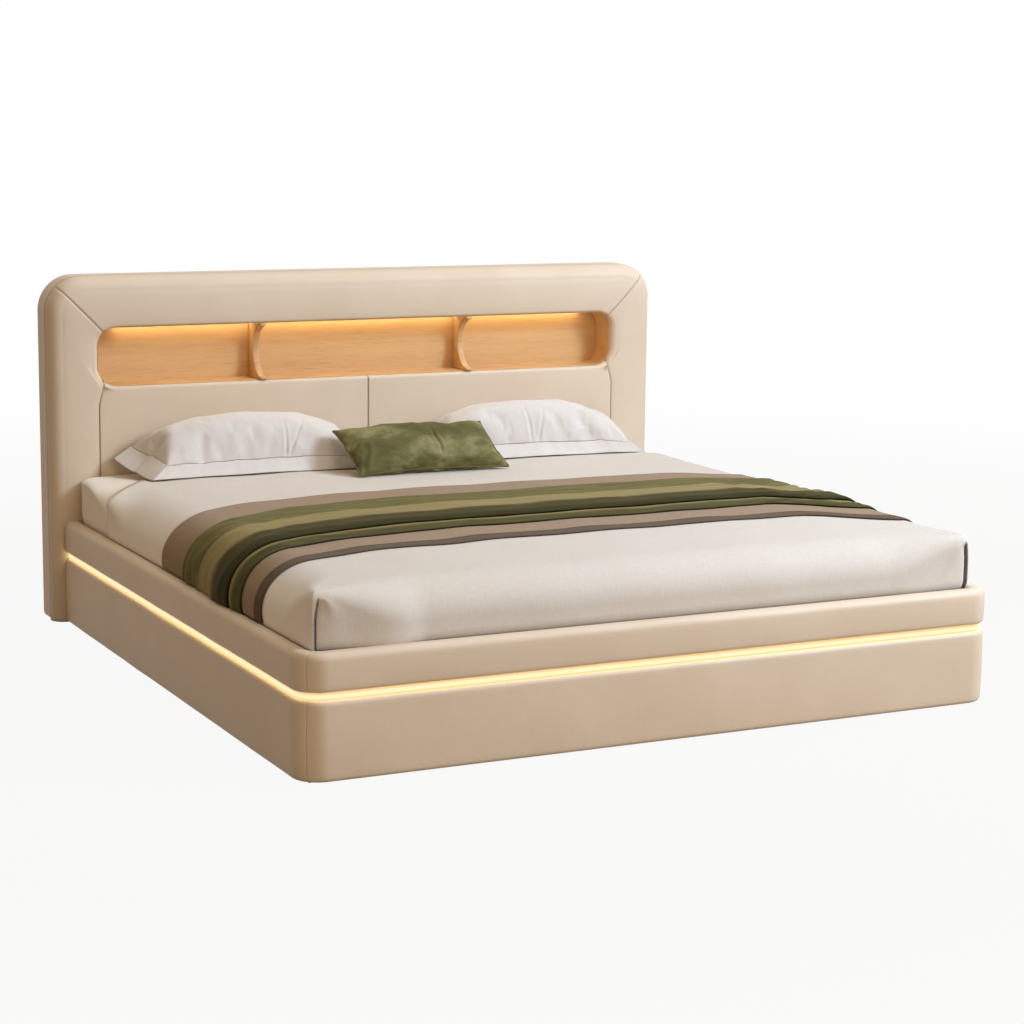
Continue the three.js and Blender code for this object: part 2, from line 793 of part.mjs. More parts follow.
// A flat link with round ends, waisted between its two bores
function armOutline(from, to) {
  const along = to.clone().sub(from).normalize();
  const across = new THREE.Vector2(-along.y, along.x);
  const length = from.distanceTo(to);
  const heading = Math.atan2(along.y, along.x);
  const points = [];
  const arc = (centre, start) => {
    for (let i = 0; i <= armEndSteps; i += 1) {
      const angle = heading + start + (Math.PI * i) / armEndSteps;
      points.push(new THREE.Vector2(
        centre.x + armHalfWidth * Math.cos(angle), centre.y + armHalfWidth * Math.sin(angle)));
    }
  };
  const waist = (side, share) => {
    points.push(from.clone().addScaledVector(along, length * share)
      .addScaledVector(across, side * armHalfWidth * armWaistShare));
  };
  arc(to, -Math.PI / 2);
  waist(1, farWaistShare);
  waist(1, nearWaistShare);
  arc(from, Math.PI / 2);
  waist(-1, nearWaistShare);
  waist(-1, farWaistShare);
  return points;
}

const armBore = (centre) => circleOutline(centre.x, centre.y, pinRadius + pinRunning);

function liftArm() {
  const arm = extrudeAcross(
    armOutline(liftBase, liftTop), outerArmX, outerArmEnd, [armBore(liftBase), armBore(liftTop)]);
  const root = liftBase.clone().lerp(liftTop, lugRootShare);
  const lug = extrudeAcross(armOutline(root, strutTop), outerArmX, outerArmEnd);
  const keepBore = extrudeAcross(armBore(liftTop), outerArmX - overrun, outerArmEnd + overrun);
  const boss = extrudeAcross(
    circleOutline(strutTop.x, strutTop.y, pinRadius),
    strutX + strutEyeWidth / 2 + seat, outerArmX + armThickness / 2);
  return join([cut(join([arm, lug]), [keepBore]), boss]);
}

function guideArm() {
  return extrudeAcross(armOutline(guideBase, guideTop), innerArmX, innerArmEnd, [armBore(guideBase)]);
}

// The base plate carries the two arm pins and the foot of the gas strut
function basePlate() {
  const low = strutBase.y - plateEdge;
  const outline = corners([
    [guideBase.x - plateEdge, low], [strutBase.x + plateEdge, low],
    [strutBase.x + plateEdge, strutBase.y + plateEdge],
    [liftBase.x + plateEdge, liftBase.y + plateEdge],
    [guideBase.x - plateEdge, liftBase.y + plateEdge]]);
  const window = circleOutline(
    (guideBase.x + liftBase.x) / 2, (low + guideBase.y) / 2, plateEdge);
  const plate = extrudeAcross(outline, plateX, sideFaceX, [window]);
  const behind = plateX + plateThickness / 2;
  const liftPin = headedPin(liftBase, outerArmX - planeGap / 2, behind);
  const guidePin = headedPin(guideBase, innerArmX - planeGap / 2, behind);
  const strutPin = extrudeAcross(
    circleOutline(strutBase.x, strutBase.y, pinRadius), strutX - strutEyeWidth / 2, behind);
  return join([plate, liftPin, guidePin, strutPin]);
}

// The top bracket's flange lies under the frame rail and its plate stands out to the arms
function topBracket() {
  const low = frameLow - seat - topFlangeThickness;
  const high = liftTop.y + topPlateEdge;
  const y0 = guideTop.x - topPlateEdge;
  const y1 = liftTop.x + topPlateEdge;
  const plate = extrudeAcross(corners([
    [y0, low], [y0 + topFlangeLength, low], [y1, liftTop.y - topPlateEdge], [y1, high], [y0, high],
  ]), topPlateX, topPlateEnd);
  const flange = block(
    frameHalfWidth - frameTube, topPlateX + topPlateThickness / 2, y0, y0 + topFlangeLength,
    low, frameLow - seat);
  const behind = topPlateX + topPlateThickness / 2;
  const liftPin = extrudeAcross(
    circleOutline(liftTop.x, liftTop.y, pinRadius), behind, outerArmEnd + planeGap / 4);
  const guideBoss = extrudeAcross(
    circleOutline(guideTop.x, guideTop.y, pinRadius), behind, innerArmX - seat);
  return join([plate, flange, liftPin, guideBoss]);
}

// A gas strut: a cylinder open at its top for the rod, and a rod with a flat eye
function strutParts() {
  const toWorld = (geometry) => {
    const heading = Math.atan2(strutTop.y - strutBase.y, strutTop.x - strutBase.x);
    const along = new THREE.Vector3(0, Math.cos(heading), Math.sin(heading));
    const across = new THREE.Vector3(1, 0, 0);
    const third = new THREE.Vector3().crossVectors(along, across);
    const turn = new THREE.Matrix4().makeBasis(across, along, third.negate());
    return geometry.applyMatrix4(turn).translate(strutX, strutBase.x, strutBase.y);
  };
  const lathe = (profile) => new THREE.LatheGeometry(corners(profile), boreSides);
  const closed = strutTop.distanceTo(strutBase);
  const bore = rodRadius + seat;
  const bodyEnd = strutNeck + strutBody;
  const tube = lathe([
    [0, strutNeck], [strutRadius, strutNeck], [strutRadius, bodyEnd], [bore, bodyEnd],
    [bore, bodyEnd - strutWall], [strutRadius - strutWall, bodyEnd - strutWall],
    [strutRadius - strutWall, strutNeck + strutWall], [0, strutNeck + strutWall]]);
  const eye = (y, holes) => extrudeAcross(
    circleOutline(0, 0, strutEyeRadius), -strutEyeWidth / 2, strutEyeWidth / 2, holes).translate(0, y, 0);
  const shank = (y0, y1) => lathe([[0, y0], [rodRadius, y0], [rodRadius, y1], [0, y1]]);
  const boreRadius = pinRadius + pinRunning;
  const cylinder = join([
    eye(0, [circleOutline(0, 0, boreRadius)]),
    shank(boreRadius + seat, strutNeck + strutWall / 2),
    tube,
  ]);
  const rod = join([shank(strutNeck + 2 * strutWall, closed - pinRadius), eye(closed, [])]);
  return { cylinder: toWorld(cylinder), rod: toWorld(rod) };
}

function addLinkage() {
  addPair('lift_base_plate', basePlate(), 'steel');
  addPair('lift_arm', liftArm(), 'steel');
  addPair('guide_arm', guideArm(), 'steel');
  addPair('lift_top_bracket', topBracket(), 'steel');
  const strut = strutParts();
  addPair('strut_cylinder', strut.cylinder, 'steel');
  addPair('strut_rod', strut.rod, 'chrome');
}

// Platform

function addPlatform() {
  const y0 = boardInnerY + frameFootGap;
  const y1 = headFrontY - frameHeadGap;
  const high = frameLow + frameTube;
  const middleY = (y0 + y1) / 2;
  const windows = [];
  for (const side of [-1, 1]) {
    const near = (side * frameTube) / 2;
    const far = side * (frameHalfWidth - frameTube);
    const x0 = Math.min(near, far);
    const x1 = Math.max(near, far);
    windows.push(block(
      x0, x1, y0 + frameTube, middleY - frameTube / 2, frameLow - overrun, high + overrun));
    windows.push(block(
      x0, x1, middleY + frameTube / 2, y1 - frameTube, frameLow - overrun, high + overrun));
  }
  const whole = block(-frameHalfWidth, frameHalfWidth, y0, y1, frameLow, high);
  addPiece('platform_frame', cut(whole, windows), 'steel');
  addDeck(high + seat);
}

// Two ply panels with rows of round vents
function addDeck(z0) {
  const x0 = seat;
  const x1 = deckHalfWidth;
  const y0 = boardInnerY + deckFootGap;
  const y1 = headFrontY - deckHeadGap;
  const columns = Math.floor((x1 - x0) / ventPitch) - 1;
  const rows = Math.floor((y1 - y0) / ventPitch) - 1;
  const holes = [];
  for (let i = 0; i < columns; i += 1) {
    for (let j = 0; j < rows; j += 1) {
      const x = (x0 + x1) / 2 + (i - (columns - 1) / 2) * ventPitch;
      const y = (y0 + y1) / 2 + (j - (rows - 1) / 2) * ventPitch;
      holes.push(circleOutline(x, y, ventRadius, ventSides));
    }
  }
  addPair('deck_panel', extrudeUp(
    roundedOutline(x0, x1, y0, y1, deckRadius), z0, z0 + deckThickness, holes), 'board');
}

// A bent rod at the head end keeps the mattress from sliding when the platform tilts
function addMattressStop() {
  const y = headFrontY - mattressHeadGap + stopRodRadius + seat;
  const low = frameLow + frameTube / 2;
  const frameEnd = headFrontY - frameHeadGap;
  const high = frameLow + frameTube + stopRise;
  const half = stopWidth / 2;
  const bendPoints = [];
  const bend = (x, z, side, start) => {
    for (let i = 0; i <= stopSteps; i += 1) {
      const angle = start + side * (Math.PI / 2) * (i / stopSteps);
      bendPoints.push(new THREE.Vector3(x + stopBend * Math.cos(angle), y, z + stopBend * Math.sin(angle)));
    }
  };
  bendPoints.push(new THREE.Vector3(half, y, low));
  bend(half - stopBend, high - stopBend, 1, 0);
  bend(-half + stopBend, high - stopBend, 1, Math.PI / 2);
  bendPoints.push(new THREE.Vector3(-half, y, low));
  const path = new THREE.CurvePath();
  for (let i = 0; i + 1 < bendPoints.length; i += 1) {
    path.add(new THREE.LineCurve3(bendPoints[i], bendPoints[i + 1]));
  }
  const section = new THREE.Shape(circleOutline(0, 0, stopRodRadius, boreSides / 2));
  const hoop = new THREE.ExtrudeGeometry(section, {
    steps: (bendPoints.length - 1) * 2, bevelEnabled: false, extrudePath: path,
  });
  const lug = (x) => block(
    x - stopRodRadius, x + stopRodRadius, frameEnd + seat, y, low - stopRodRadius, low + stopRodRadius);
  addPiece('mattress_stop', join([hoop, lug(half), lug(-half)]), 'steel');
}

// Mattress and bedding

const mattressLow = frameLow + frameTube + seat + deckThickness + seat;
const mattressHigh = mattressLow + mattressHeight;
const mattressFoot = boardInnerY + mattressFootGap;
const mattressHead = headFrontY - mattressHeadGap;

// The mattress's form, or the form that lies a set distance outside it
function mattressForm(grow) {
  const roll = mattressRoll + grow;
  const across = shoulderAcross + grow;
  const drop = shoulderDrop + grow;
  const rings = [];
  const ringAt = (inset, z, share = 1) => {
    const outline = roundedOutline(
      -mattressHalfWidth - grow + inset, mattressHalfWidth + grow - inset,
      mattressFoot - grow + inset, mattressHead + grow - inset, mattressPlanRadius + grow - inset);
    const middleY = (mattressFoot + mattressHead) / 2;
    rings.push(outline.map((point) => new THREE.Vector3(
      point.x * share, middleY + (point.y - middleY) * share, z)));
  };
  const low = mattressLow - grow;
  const high = mattressHigh + grow;
  for (let i = 0; i <= rollSteps; i += 1) {
    const angle = (Math.PI / 2) * (i / rollSteps);
    ringAt(roll * (1 - Math.sin(angle)), low + roll * (1 - Math.cos(angle)));
  }
  for (let i = 0; i <= rollSteps; i += 1) {
    const angle = (Math.PI / 2) * (i / rollSteps);
    ringAt(across * (1 - Math.cos(angle)), high - drop * (1 - Math.sin(angle)));
  }
  for (const share of crownShares) {
    ringAt(across, high + mattressCrown * (1 - share ** 2), share);
  }
  return loft(rings);
}

// Cloth of one thickness that lies a set distance outside the mattress, down to its hem
function clothShell(inner, thickness, hem) {
  const below = block(
    -baseWidth, baseWidth, footY - baseLength, backY + baseLength, -headboardHeight, hem);
  return cut(mattressForm(inner + thickness), [mattressForm(inner), below]);
}

// The part of the bed between two edges that bow toward the foot at both sides of the bed
function bandRegion(headFromFoot, footFromFoot) {
  const edge = (distance) => {
    const points = [];
    for (let i = 0; i <= bandSteps; i += 1) {
      const share = (2 * i) / bandSteps - 1;
      points.push(new THREE.Vector2(
        share * halfBase, footY + distance - bandBow * share ** 2 * Math.abs(share)));
    }
    return points;
  };
  const outline = [...edge(footFromFoot), ...edge(headFromFoot).reverse()];
  return extrudeUp(outline, 0, headboardHeight);
}

const runnerInner = beddingGap + duvetThickness + beddingGap;
const throwInner = runnerInner + runnerThickness + beddingGap;
const firstFold = throwInner + throwThickness;
const secondFold = firstFold + foldThickness;

// The duvet's head edge is straight between the pillows and drawn toward the foot at both sides
function duvetHeadRegion() {
  const low = footY - baseLength;
  const high = footY + duvetHeadFromFoot;
  const drawn = high - duvetHeadDraw;
  return extrudeUp(corners([
    [-baseWidth, low], [baseWidth, low], [baseWidth, drawn], [drawOuterX, drawn],
    [drawInnerX, high], [-drawInnerX, high], [-drawOuterX, drawn], [-baseWidth, drawn]]),
  -overrun, headboardHeight);
}

function addBedding() {
  addPiece('mattress', mattressForm(0), 'sheet');
  addPiece('duvet', keepInside(
    clothShell(beddingGap, duvetThickness, duvetHem), duvetHeadRegion()), 'duvet');
  addPiece('runner', keepInside(
    clothShell(runnerInner, runnerThickness, bandHem), bandRegion(runnerHead, runnerFoot)), 'taupe');
  const lap = throwThickness / 2;
  addPiece('throw', join([
    keepInside(clothShell(throwInner, throwThickness, bandHem), bandRegion(throwHead, throwFoot)),
    keepInside(clothShell(firstFold - lap, foldThickness + lap, bandHem), bandRegion(foldHead, throwFoot)),
    keepInside(
      clothShell(secondFold - lap, foldThickness + lap, bandHem), bandRegion(foldMiddle, throwFoot)),
  ]), 'olive');
}

// A sewn case filled with down: crowned on both faces, with its sides drawn in between the
// corners and a flat hem all round. Two sheets of points meet at the hem.
function filledCase(width, height, thickness, hem, flange, drawIn, grow) {
  const positions = [];
  const index = [];
  const hemShareX = 1 - flange / (width / 2);
  const hemShareY = 1 - flange / (height / 2);
  const columns = softColumns;
  const rows = softRows;
  const swell = (share, edge) => (
    Math.cos((Math.PI / 2) * Math.min(1, Math.abs(share) / edge)) ** swellRound);
  for (const face of [-1, 1]) {
    for (let j = 0; j <= rows; j += 1) {
      for (let i = 0; i <= columns; i += 1) {
        const u = Math.sin((Math.PI / 2) * ((2 * i) / columns - 1));
        const v = Math.sin((Math.PI / 2) * ((2 * j) / rows - 1));
        const pullX = 1 - drawIn * (1 - v * v) * u * u;
        const pullY = 1 - drawIn * 2 * (1 - u * u) * v * v;
        const crown = (thickness / 2 - hem / 2) * swell(u, hemShareX) * swell(v, hemShareY);
        positions.push(
          u * (width / 2 + grow) * pullX, v * (height / 2 + grow) * pullY,
          face * (hem / 2 + crown + grow));
      }
    }
  }
  const stride = columns + 1;
  const faceSize = stride * (rows + 1);
  for (let j = 0; j < rows; j += 1) {
    for (let i = 0; i < columns; i += 1) {
      const a = j * stride + i;
      const b = a + 1;
      const c = a + stride + 1;
      const d = a + stride;
      index.push(a, c, b, a, d, c);
      index.push(faceSize + a, faceSize + b, faceSize + c);
      index.push(faceSize + a, faceSize + c, faceSize + d);
    }
  }
  const rim = [];
  for (let i = 0; i < columns; i += 1) {
    rim.push(i);
  }
  for (let j = 0; j < rows; j += 1) {
    rim.push(j * stride + columns);
  }
  for (let i = columns; i > 0; i -= 1) {
    rim.push(rows * stride + i);
  }
  for (let j = rows; j > 0; j -= 1) {
    rim.push(j * stride);
  }
  rim.forEach((a, k) => {
    const b = rim[(k + 1) % rim.length];
    index.push(a, b, faceSize + b, a, faceSize + b, faceSize + a);
  });
  const geometry = new THREE.BufferGeometry();
  geometry.setAttribute('position', new THREE.Float32BufferAttribute(positions, 3));
  geometry.setIndex(index);
  return geometry;
}

function placedCase(geometry, lean, x, y, z) {
  return geometry.rotateX(lean * degree).translate(x, y, z);
}

function pillowForm(grow) {
  return placedCase(
    filledCase(pillowWidth, pillowHeight, pillowThickness, pillowHem, pillowFlange, pillowDrawInShare, grow),
    pillowLeanAngle, pillowCentreX, headFrontY - pillowFromHead, mattressHigh + pillowRise);
}

function addPillows() {
  const duvetTop = keepInside(
    mattressForm(beddingGap + duvetThickness + softGap), duvetHeadRegion());
  const under = [mattressForm(softGap), duvetTop];
  addPair('pillow', cut(pillowForm(0), under), 'pillow');
  const cushion = placedCase(
    filledCase(
      cushionWidth, cushionHeight, cushionThickness, cushionPiping, cushionPiping, cushionDrawInShare, 0),
    cushionLeanAngle, cushionX, headFrontY - cushionFromHead, mattressHigh + cushionRise);
  addPiece('lumbar_cushion', cut(cushion, [
    ...under, pillowForm(softGap), mirrored(pillowForm(softGap))]), 'olive');
}

addPanels();
addLightStrip();
addBoards();
addPartition();
addStorageFloors();
addLedges();
addCornerBrackets();
addDriver();
addHeadPads();
addCarcass();
addInlet();
addNiche();
addDividers();
addNicheLight();
addLinkage();
addPlatform();
addMattressStop();
addBedding();
addPillows();

export default bed;
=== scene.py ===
from math import cos, pi, radians, sin

import bpy
import numpy as np
from mathutils import Matrix, Vector


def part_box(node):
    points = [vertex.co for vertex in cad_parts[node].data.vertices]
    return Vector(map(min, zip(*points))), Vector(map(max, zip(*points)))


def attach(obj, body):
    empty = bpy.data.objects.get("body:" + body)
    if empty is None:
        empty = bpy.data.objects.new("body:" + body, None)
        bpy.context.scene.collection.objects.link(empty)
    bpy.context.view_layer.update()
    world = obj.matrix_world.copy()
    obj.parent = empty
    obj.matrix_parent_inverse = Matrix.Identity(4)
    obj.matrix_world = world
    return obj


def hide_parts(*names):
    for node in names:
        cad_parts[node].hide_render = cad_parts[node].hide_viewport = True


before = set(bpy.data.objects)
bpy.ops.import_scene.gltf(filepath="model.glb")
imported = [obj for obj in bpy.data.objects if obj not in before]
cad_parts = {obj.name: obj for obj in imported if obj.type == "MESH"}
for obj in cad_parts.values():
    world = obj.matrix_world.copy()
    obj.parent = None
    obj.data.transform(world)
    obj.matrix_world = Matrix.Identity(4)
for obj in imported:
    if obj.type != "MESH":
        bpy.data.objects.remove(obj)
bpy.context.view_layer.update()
print("frame loaded with", len(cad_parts), "nodes")


# Helpers for shapes: every new piece is a grid of points put into one closed mesh

def boxOf(node):
    low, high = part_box(node)
    return np.array(low), np.array(high)


def pointsAt(*axes):
    # points from their coordinates, each spread to the shape of the others
    return np.stack(np.broadcast_arrays(*axes), -1)


def between(a, b, share):
    return a + (b - a) * share


def bell(x, width):
    return np.exp(-(x / width) ** 2)


def unit(way):
    return way / np.linalg.norm(way, axis=-1, keepdims=True)


def lengthsAlong(path):
    # the length run along a polyline at each of its points
    return np.concatenate([[0], np.cumsum(np.linalg.norm(np.diff(path, axis=0), axis=1))])


def smoothStep(low, high, x):
    t = np.clip((x - low) / (high - low), 0, 1)
    return t * t * (3 - 2 * t)


def waves(x, y, seed, scale, count=7):
    # a calm random relief: the sum of sine waves in random directions, over the root of their count
    rng = np.random.default_rng(seed)
    total = np.zeros(np.broadcast(x, y).shape)
    for _ in range(count):
        angle, size, phase = rng.uniform(0, 2 * pi), scale * rng.uniform(0.6, 1.5), rng.uniform(0, 2 * pi)
        total += np.sin(2 * pi * (x * cos(angle) + y * sin(angle)) / size + phase)
    return total / count ** 0.5


def cells(rows, columns, wrapRows=False, wrapColumns=False, first=0):
    # the four corners of each cell of a grid whose points are numbered row by row
    row, column = np.meshgrid(np.arange(rows if wrapRows else rows - 1),
                              np.arange(columns if wrapColumns else columns - 1), indexing="ij")
    nextRow, nextColumn = (row + 1) % rows, (column + 1) % columns
    corners = [row * columns + column, nextRow * columns + column,
               nextRow * columns + nextColumn, row * columns + nextColumn]
    return np.stack(corners, -1).reshape(-1, 4) + first


def rimOf(rows, columns):
    # the numbers of a grid's rim points, once round
    return np.concatenate([
        np.arange(columns), np.arange(1, rows) * columns + columns - 1,
        (rows - 1) * columns + np.arange(columns - 2, -1, -1), np.arange(rows - 2, 0, -1) * columns])


def volumeUnder(points, quads, caps):
    # six times the volume under the quads and under each cap, seen as a fan from its first corner
    a, b, c, d = (points[quads[:, k]] for k in range(4))
    total = np.sum(a * (np.cross(b, c) + np.cross(c, d)))
    for cap in caps:
        p = points[cap]
        total += np.sum(np.cross(p[1:-1], p[2:]) @ p[0])
    return total


def putMesh(name, points, quads, material, caps=(), uv=None, closed=True):
    # one smooth mesh, turned so that a closed one's faces point out
    points = points.reshape(-1, 3)
    if closed and volumeUnder(points - points.mean(0), quads, caps) < 0:
        quads = quads[:, ::-1]
        caps = [cap[::-1] for cap in caps]
    mesh = bpy.data.meshes.new(name)
    mesh.from_pydata(points.tolist(), [], quads.tolist() + [cap.tolist() for cap in caps])
    if uv is not None:
        layer = mesh.uv_layers.new(name="cloth")
        corner = np.empty(len(mesh.loops), dtype=np.int32)
        mesh.loops.foreach_get("vertex_index", corner)
        layer.data.foreach_set("uv", uv.reshape(-1, 2)[corner].ravel())
    mesh.polygons.foreach_set("use_smooth", np.full(len(mesh.polygons), True))
    mesh.materials.append(material)
    piece = bpy.data.objects.new(name, mesh)
    bpy.context.scene.collection.objects.link(piece)
    return piece


def sweptSolid(name, loops, material, closedPath=False, uv=None):
    # closed profiles, one row of points each, joined along a path and capped at its ends
    rows, columns = loops.shape[:2]
    quads = cells(rows, columns, wrapRows=closedPath, wrapColumns=True)
    ends = (np.arange(columns), (rows - 1) * columns + np.arange(columns)[::-1])
    return putMesh(name, loops, quads, material, () if closedPath else ends, uv)


def shellSolid(name, outer, inner, material, uv):
    # two facing grids of the same size, closed along their four edges
    rows, columns = outer.shape[:2]
    count = rows * columns
    rim = rimOf(rows, columns)
    following = np.roll(rim, -1)
    side = np.stack([following, rim, rim + count, following + count], -1)
    quads = np.concatenate([cells(rows, columns), cells(rows, columns, first=count)[:, ::-1], side])
    return putMesh(name, np.stack([outer, inner]), quads, material, uv=np.stack([uv, uv]))


def finishPiece(piece, body, slot, *nodes):
    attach(piece, body)
    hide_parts(*nodes)


def giveAttribute(piece, name, values):
    layer = piece.data.attributes.new(name, "FLOAT", "POINT")
    layer.data.foreach_set("value", np.ascontiguousarray(values, dtype=np.float32).ravel())


def arc(centreX, centreY, radius, start, end, steps):
    # points on a circle between two angles in degrees
    angle = np.radians(np.linspace(start, end, steps + 1))
    return pointsAt(centreX + radius * np.cos(angle), centreY + radius * np.sin(angle))


def joinedPath(*parts):
    # a polyline through all the parts, without doubled points
    path = np.concatenate([np.atleast_2d(part) for part in parts])
    step = np.linalg.norm(np.diff(path, axis=0), axis=1)
    return path[np.concatenate([[True], step > 1e-7])]


def alongPath(path, shares):
    # points at the given shares of a polyline's length
    length = lengthsAlong(path)
    return pointsAt(*(np.interp(shares * length[-1], length, axis) for axis in path.T))


def denseShares(length, coarse, fine, reach):
    # shares from 0 to 1 that are close together near both ends
    ends = np.arange(0, reach, fine)
    middle = np.linspace(reach, length - reach, max(2, int((length - 2 * reach) / coarse) + 1))
    return np.concatenate([ends, middle, length - ends[::-1]]) / length


def roundedLoop(corners, steps=6, spacing=0.02):
    # a closed outline through (x, y, radius) corners, each rounded by an arc of its radius
    arcs = []
    for k, (x, y, radius) in enumerate(corners):
        here = np.array([x, y])
        back = unit(np.array(corners[k - 1][:2]) - here)
        ahead = unit(np.array(corners[(k + 1) % len(corners)][:2]) - here)
        half = np.arccos(np.clip(back @ ahead, -1, 1)) / 2
        reach = radius / np.tan(half)
        centre = here + unit(back + ahead) * radius / np.sin(half)
        first, last = here + back * reach - centre, here + ahead * reach - centre
        share, swing = np.linspace(0, 1, steps + 1)[:, None], pi - 2 * half
        turned = np.sin((1 - share) * swing) * first + np.sin(share * swing) * last
        arcs.append(centre + turned / np.sin(swing))
    loop = []
    for here, following in zip(arcs, arcs[1:] + arcs[:1]):
        gaps = int(np.linalg.norm(following[0] - here[-1]) / spacing)
        loop += [here, between(here[-1], following[0], np.linspace(0, 1, gaps + 2)[1:-1, None])]
    return np.concatenate(loop)


def carried(outline, normal, inset, height):
    # profiles of (inset, height), each set at right angles to the outline at one of its points
    at = outline[:, None] - inset[..., None] * normal[:, None]
    return pointsAt(at[..., 0], at[..., 1], height)


# Helpers for shaders; the shared effects are node groups that give out values only

def srgb(colour):
    # the linear colour of an sRGB one from 0 to 255
    value = np.array(colour) / 255
    linear = np.where(value <= 0.04045, value / 12.92, ((value + 0.055) / 1.055) ** 2.4)
    return (*linear.tolist(), 1.0)


def feed(tree, node, inputs):
    # sets or links a node's inputs, by number or label
    for key, value in inputs.items():
        if isinstance(value, bpy.types.NodeSocket):
            tree.links.new(value, node.inputs[key])
        else:
            node.inputs[key].default_value = value
    return node


def put(tree, kind, inputs, **properties):
    node = tree.nodes.new(kind)
    for key, value in properties.items():
        setattr(node, key, value)
    return feed(tree, node, inputs).outputs


def math(tree, operation, a, b=0.5):
    return put(tree, "ShaderNodeMath", {0: a, 1: b}, operation=operation)[0]


def remap(tree, value, fromLow, fromHigh, toLow=0.0, toHigh=1.0):
    return put(tree, "ShaderNodeMapRange", {0: value, 1: fromLow, 2: fromHigh, 3: toLow, 4: toHigh})[0]


def mixColours(tree, factor, a, b):
    return put(tree, "ShaderNodeMix", {0: factor, 6: a, 7: b}, data_type="RGBA")[2]


def noise(tree, vector, scale, detail=3.0, roughness=0.5):
    return put(tree, "ShaderNodeTexNoise", {
        "Vector": vector, "Scale": scale, "Detail": detail, "Roughness": roughness})["Fac"]


def stretchedNoise(tree, vector, scale, detail, roughness=0.5):
    vector = put(tree, "ShaderNodeMapping", {"Vector": vector, "Scale": scale})[0]
    return noise(tree, vector, 1.0, detail, roughness)


def ownPlace(tree):
    return put(tree, "ShaderNodeTexCoord", {})["Object"]


def ownValue(tree, name):
    # a value that the piece's mesh carries: its painted shade, its painted side light (pale) or its painted
    # sheen
    return put(tree, "ShaderNodeAttribute", {}, attribute_name=name)["Fac"]


def makeGroup(name, inputs, build):
    # build is handed the group and its inputs, and gives its results by label
    group = bpy.data.node_groups.new(name, "ShaderNodeTree")
    group.interface.new_socket("Vector", in_out="INPUT", socket_type="NodeSocketVector")
    for label, value in inputs.items():
        group.interface.new_socket(label, in_out="INPUT", socket_type="NodeSocketFloat").default_value = value
    results = build(group, group.nodes.new("NodeGroupInput").outputs)
    for label in results:
        group.interface.new_socket(label, in_out="OUTPUT", socket_type="NodeSocketFloat")
    feed(group, group.nodes.new("NodeGroupOutput"), results)
    return group


def leatherPebbles(group, given):
    cell = put(group, "ShaderNodeTexVoronoi", {"Vector": given["Vector"], "Scale": given["Pebble"]},
               feature="SMOOTH_F1")
    crease = noise(group, given["Vector"], 160.0, 4.0, 0.6)
    return {"Height": math(group, "ADD", math(group, "MULTIPLY", cell["Distance"], 0.6), crease),
            "Tone": noise(group, given["Vector"], 5.0, 3.0, 0.55)}


def clothThreads(group, given):
    # two sets of threads on a map in metres, each a sine ridge, with slubs stretched along them
    axes = put(group, "ShaderNodeSeparateXYZ", {0: given["Vector"]})
    ridges = []
    for axis in (0, 1):
        turn = math(group, "MULTIPLY", axes[axis], given["Threads"])
        ridges.append(math(group, "ABSOLUTE", math(group, "SINE", math(group, "MULTIPLY", turn, pi))))
    weave = math(group, "MAXIMUM", ridges[0], ridges[1])
    slub = math(group, "ADD", stretchedNoise(group, given["Vector"], (420.0, 26.0, 40.0), 2.0),
                stretchedNoise(group, given["Vector"], (26.0, 420.0, 40.0), 2.0))
    return {"Height": math(group, "ADD", math(group, "MULTIPLY", weave, 0.35),
                           math(group, "MULTIPLY", slub, given["Slub"])),
            "Tone": math(group, "MULTIPLY", slub, 0.5)}


def oakStreaks(group, given):
    # long streaks along the first axis, with fine dark pores between them
    return {"Streak": stretchedNoise(group, given["Vector"], (1.6, 30.0, 30.0), 5.0, 0.6),
            "Pore": stretchedNoise(group, given["Vector"], (14.0, 420.0, 420.0), 2.0)}


def softPile(group, given):
    # the pile of a soft cloth, brushed lighter and darker in patches drawn out along one way
    axes = put(group, "ShaderNodeSeparateXYZ", {0: given["Vector"]})
    drawn = put(group, "ShaderNodeCombineXYZ", {0: math(group, "MULTIPLY", axes[0], given["Along"]),
                                                1: math(group, "MULTIPLY", axes[1], given["Across"])})
    return {"Patch": noise(group, drawn[0], 1.0, 5.0, 0.62),
            "Pile": noise(group, given["Vector"], 900.0, 2.0)}


leatherGrain = makeGroup("leatherGrain", {"Pebble": 420.0}, leatherPebbles)
clothWeave = makeGroup("clothWeave", {"Threads": 900.0, "Slub": 0.5}, clothThreads)
oakGrain = makeGroup("oakGrain", {}, oakStreaks)
softMottle = makeGroup("softMottle", {"Along": 4.0, "Across": 22.0}, softPile)


def newMaterial(name, colour, roughness, metallic=0.0, sheen=0.0, specular=0.5):
    material = bpy.data.materials.new(name)
    material.use_nodes = True
    tree = material.node_tree
    shader = feed(tree, tree.nodes["Principled BSDF"], {
        "Base Color": srgb(colour), "Roughness": roughness, "Metallic": metallic, "Sheen Weight": sheen,
        "Specular IOR Level": specular})
    material.diffuse_color = srgb(colour)
    return material, tree, shader


def placeOn(tree, group, coordinate="Object", **values):
    # a shared effect, reading object coordinates or the piece's own cloth map
    onCloth = coordinate == "cloth"
    source = put(tree, "ShaderNodeUVMap", {}, uv_map="cloth")[0] if onCloth else ownPlace(tree)
    node = tree.nodes.new("ShaderNodeGroup")
    node.node_tree = group
    return feed(tree, node, {"Vector": source, **values}).outputs


def dress(tree, shader, colour, roughness, height, strength, distance):
    # what every material ends with: its colour, its uneven roughness and its fine relief
    relief = put(tree, "ShaderNodeBump", {"Strength": strength, "Distance": distance, "Height": height})
    feed(tree, shader, {"Base Color": colour, "Roughness": roughness, "Normal": relief[0]})


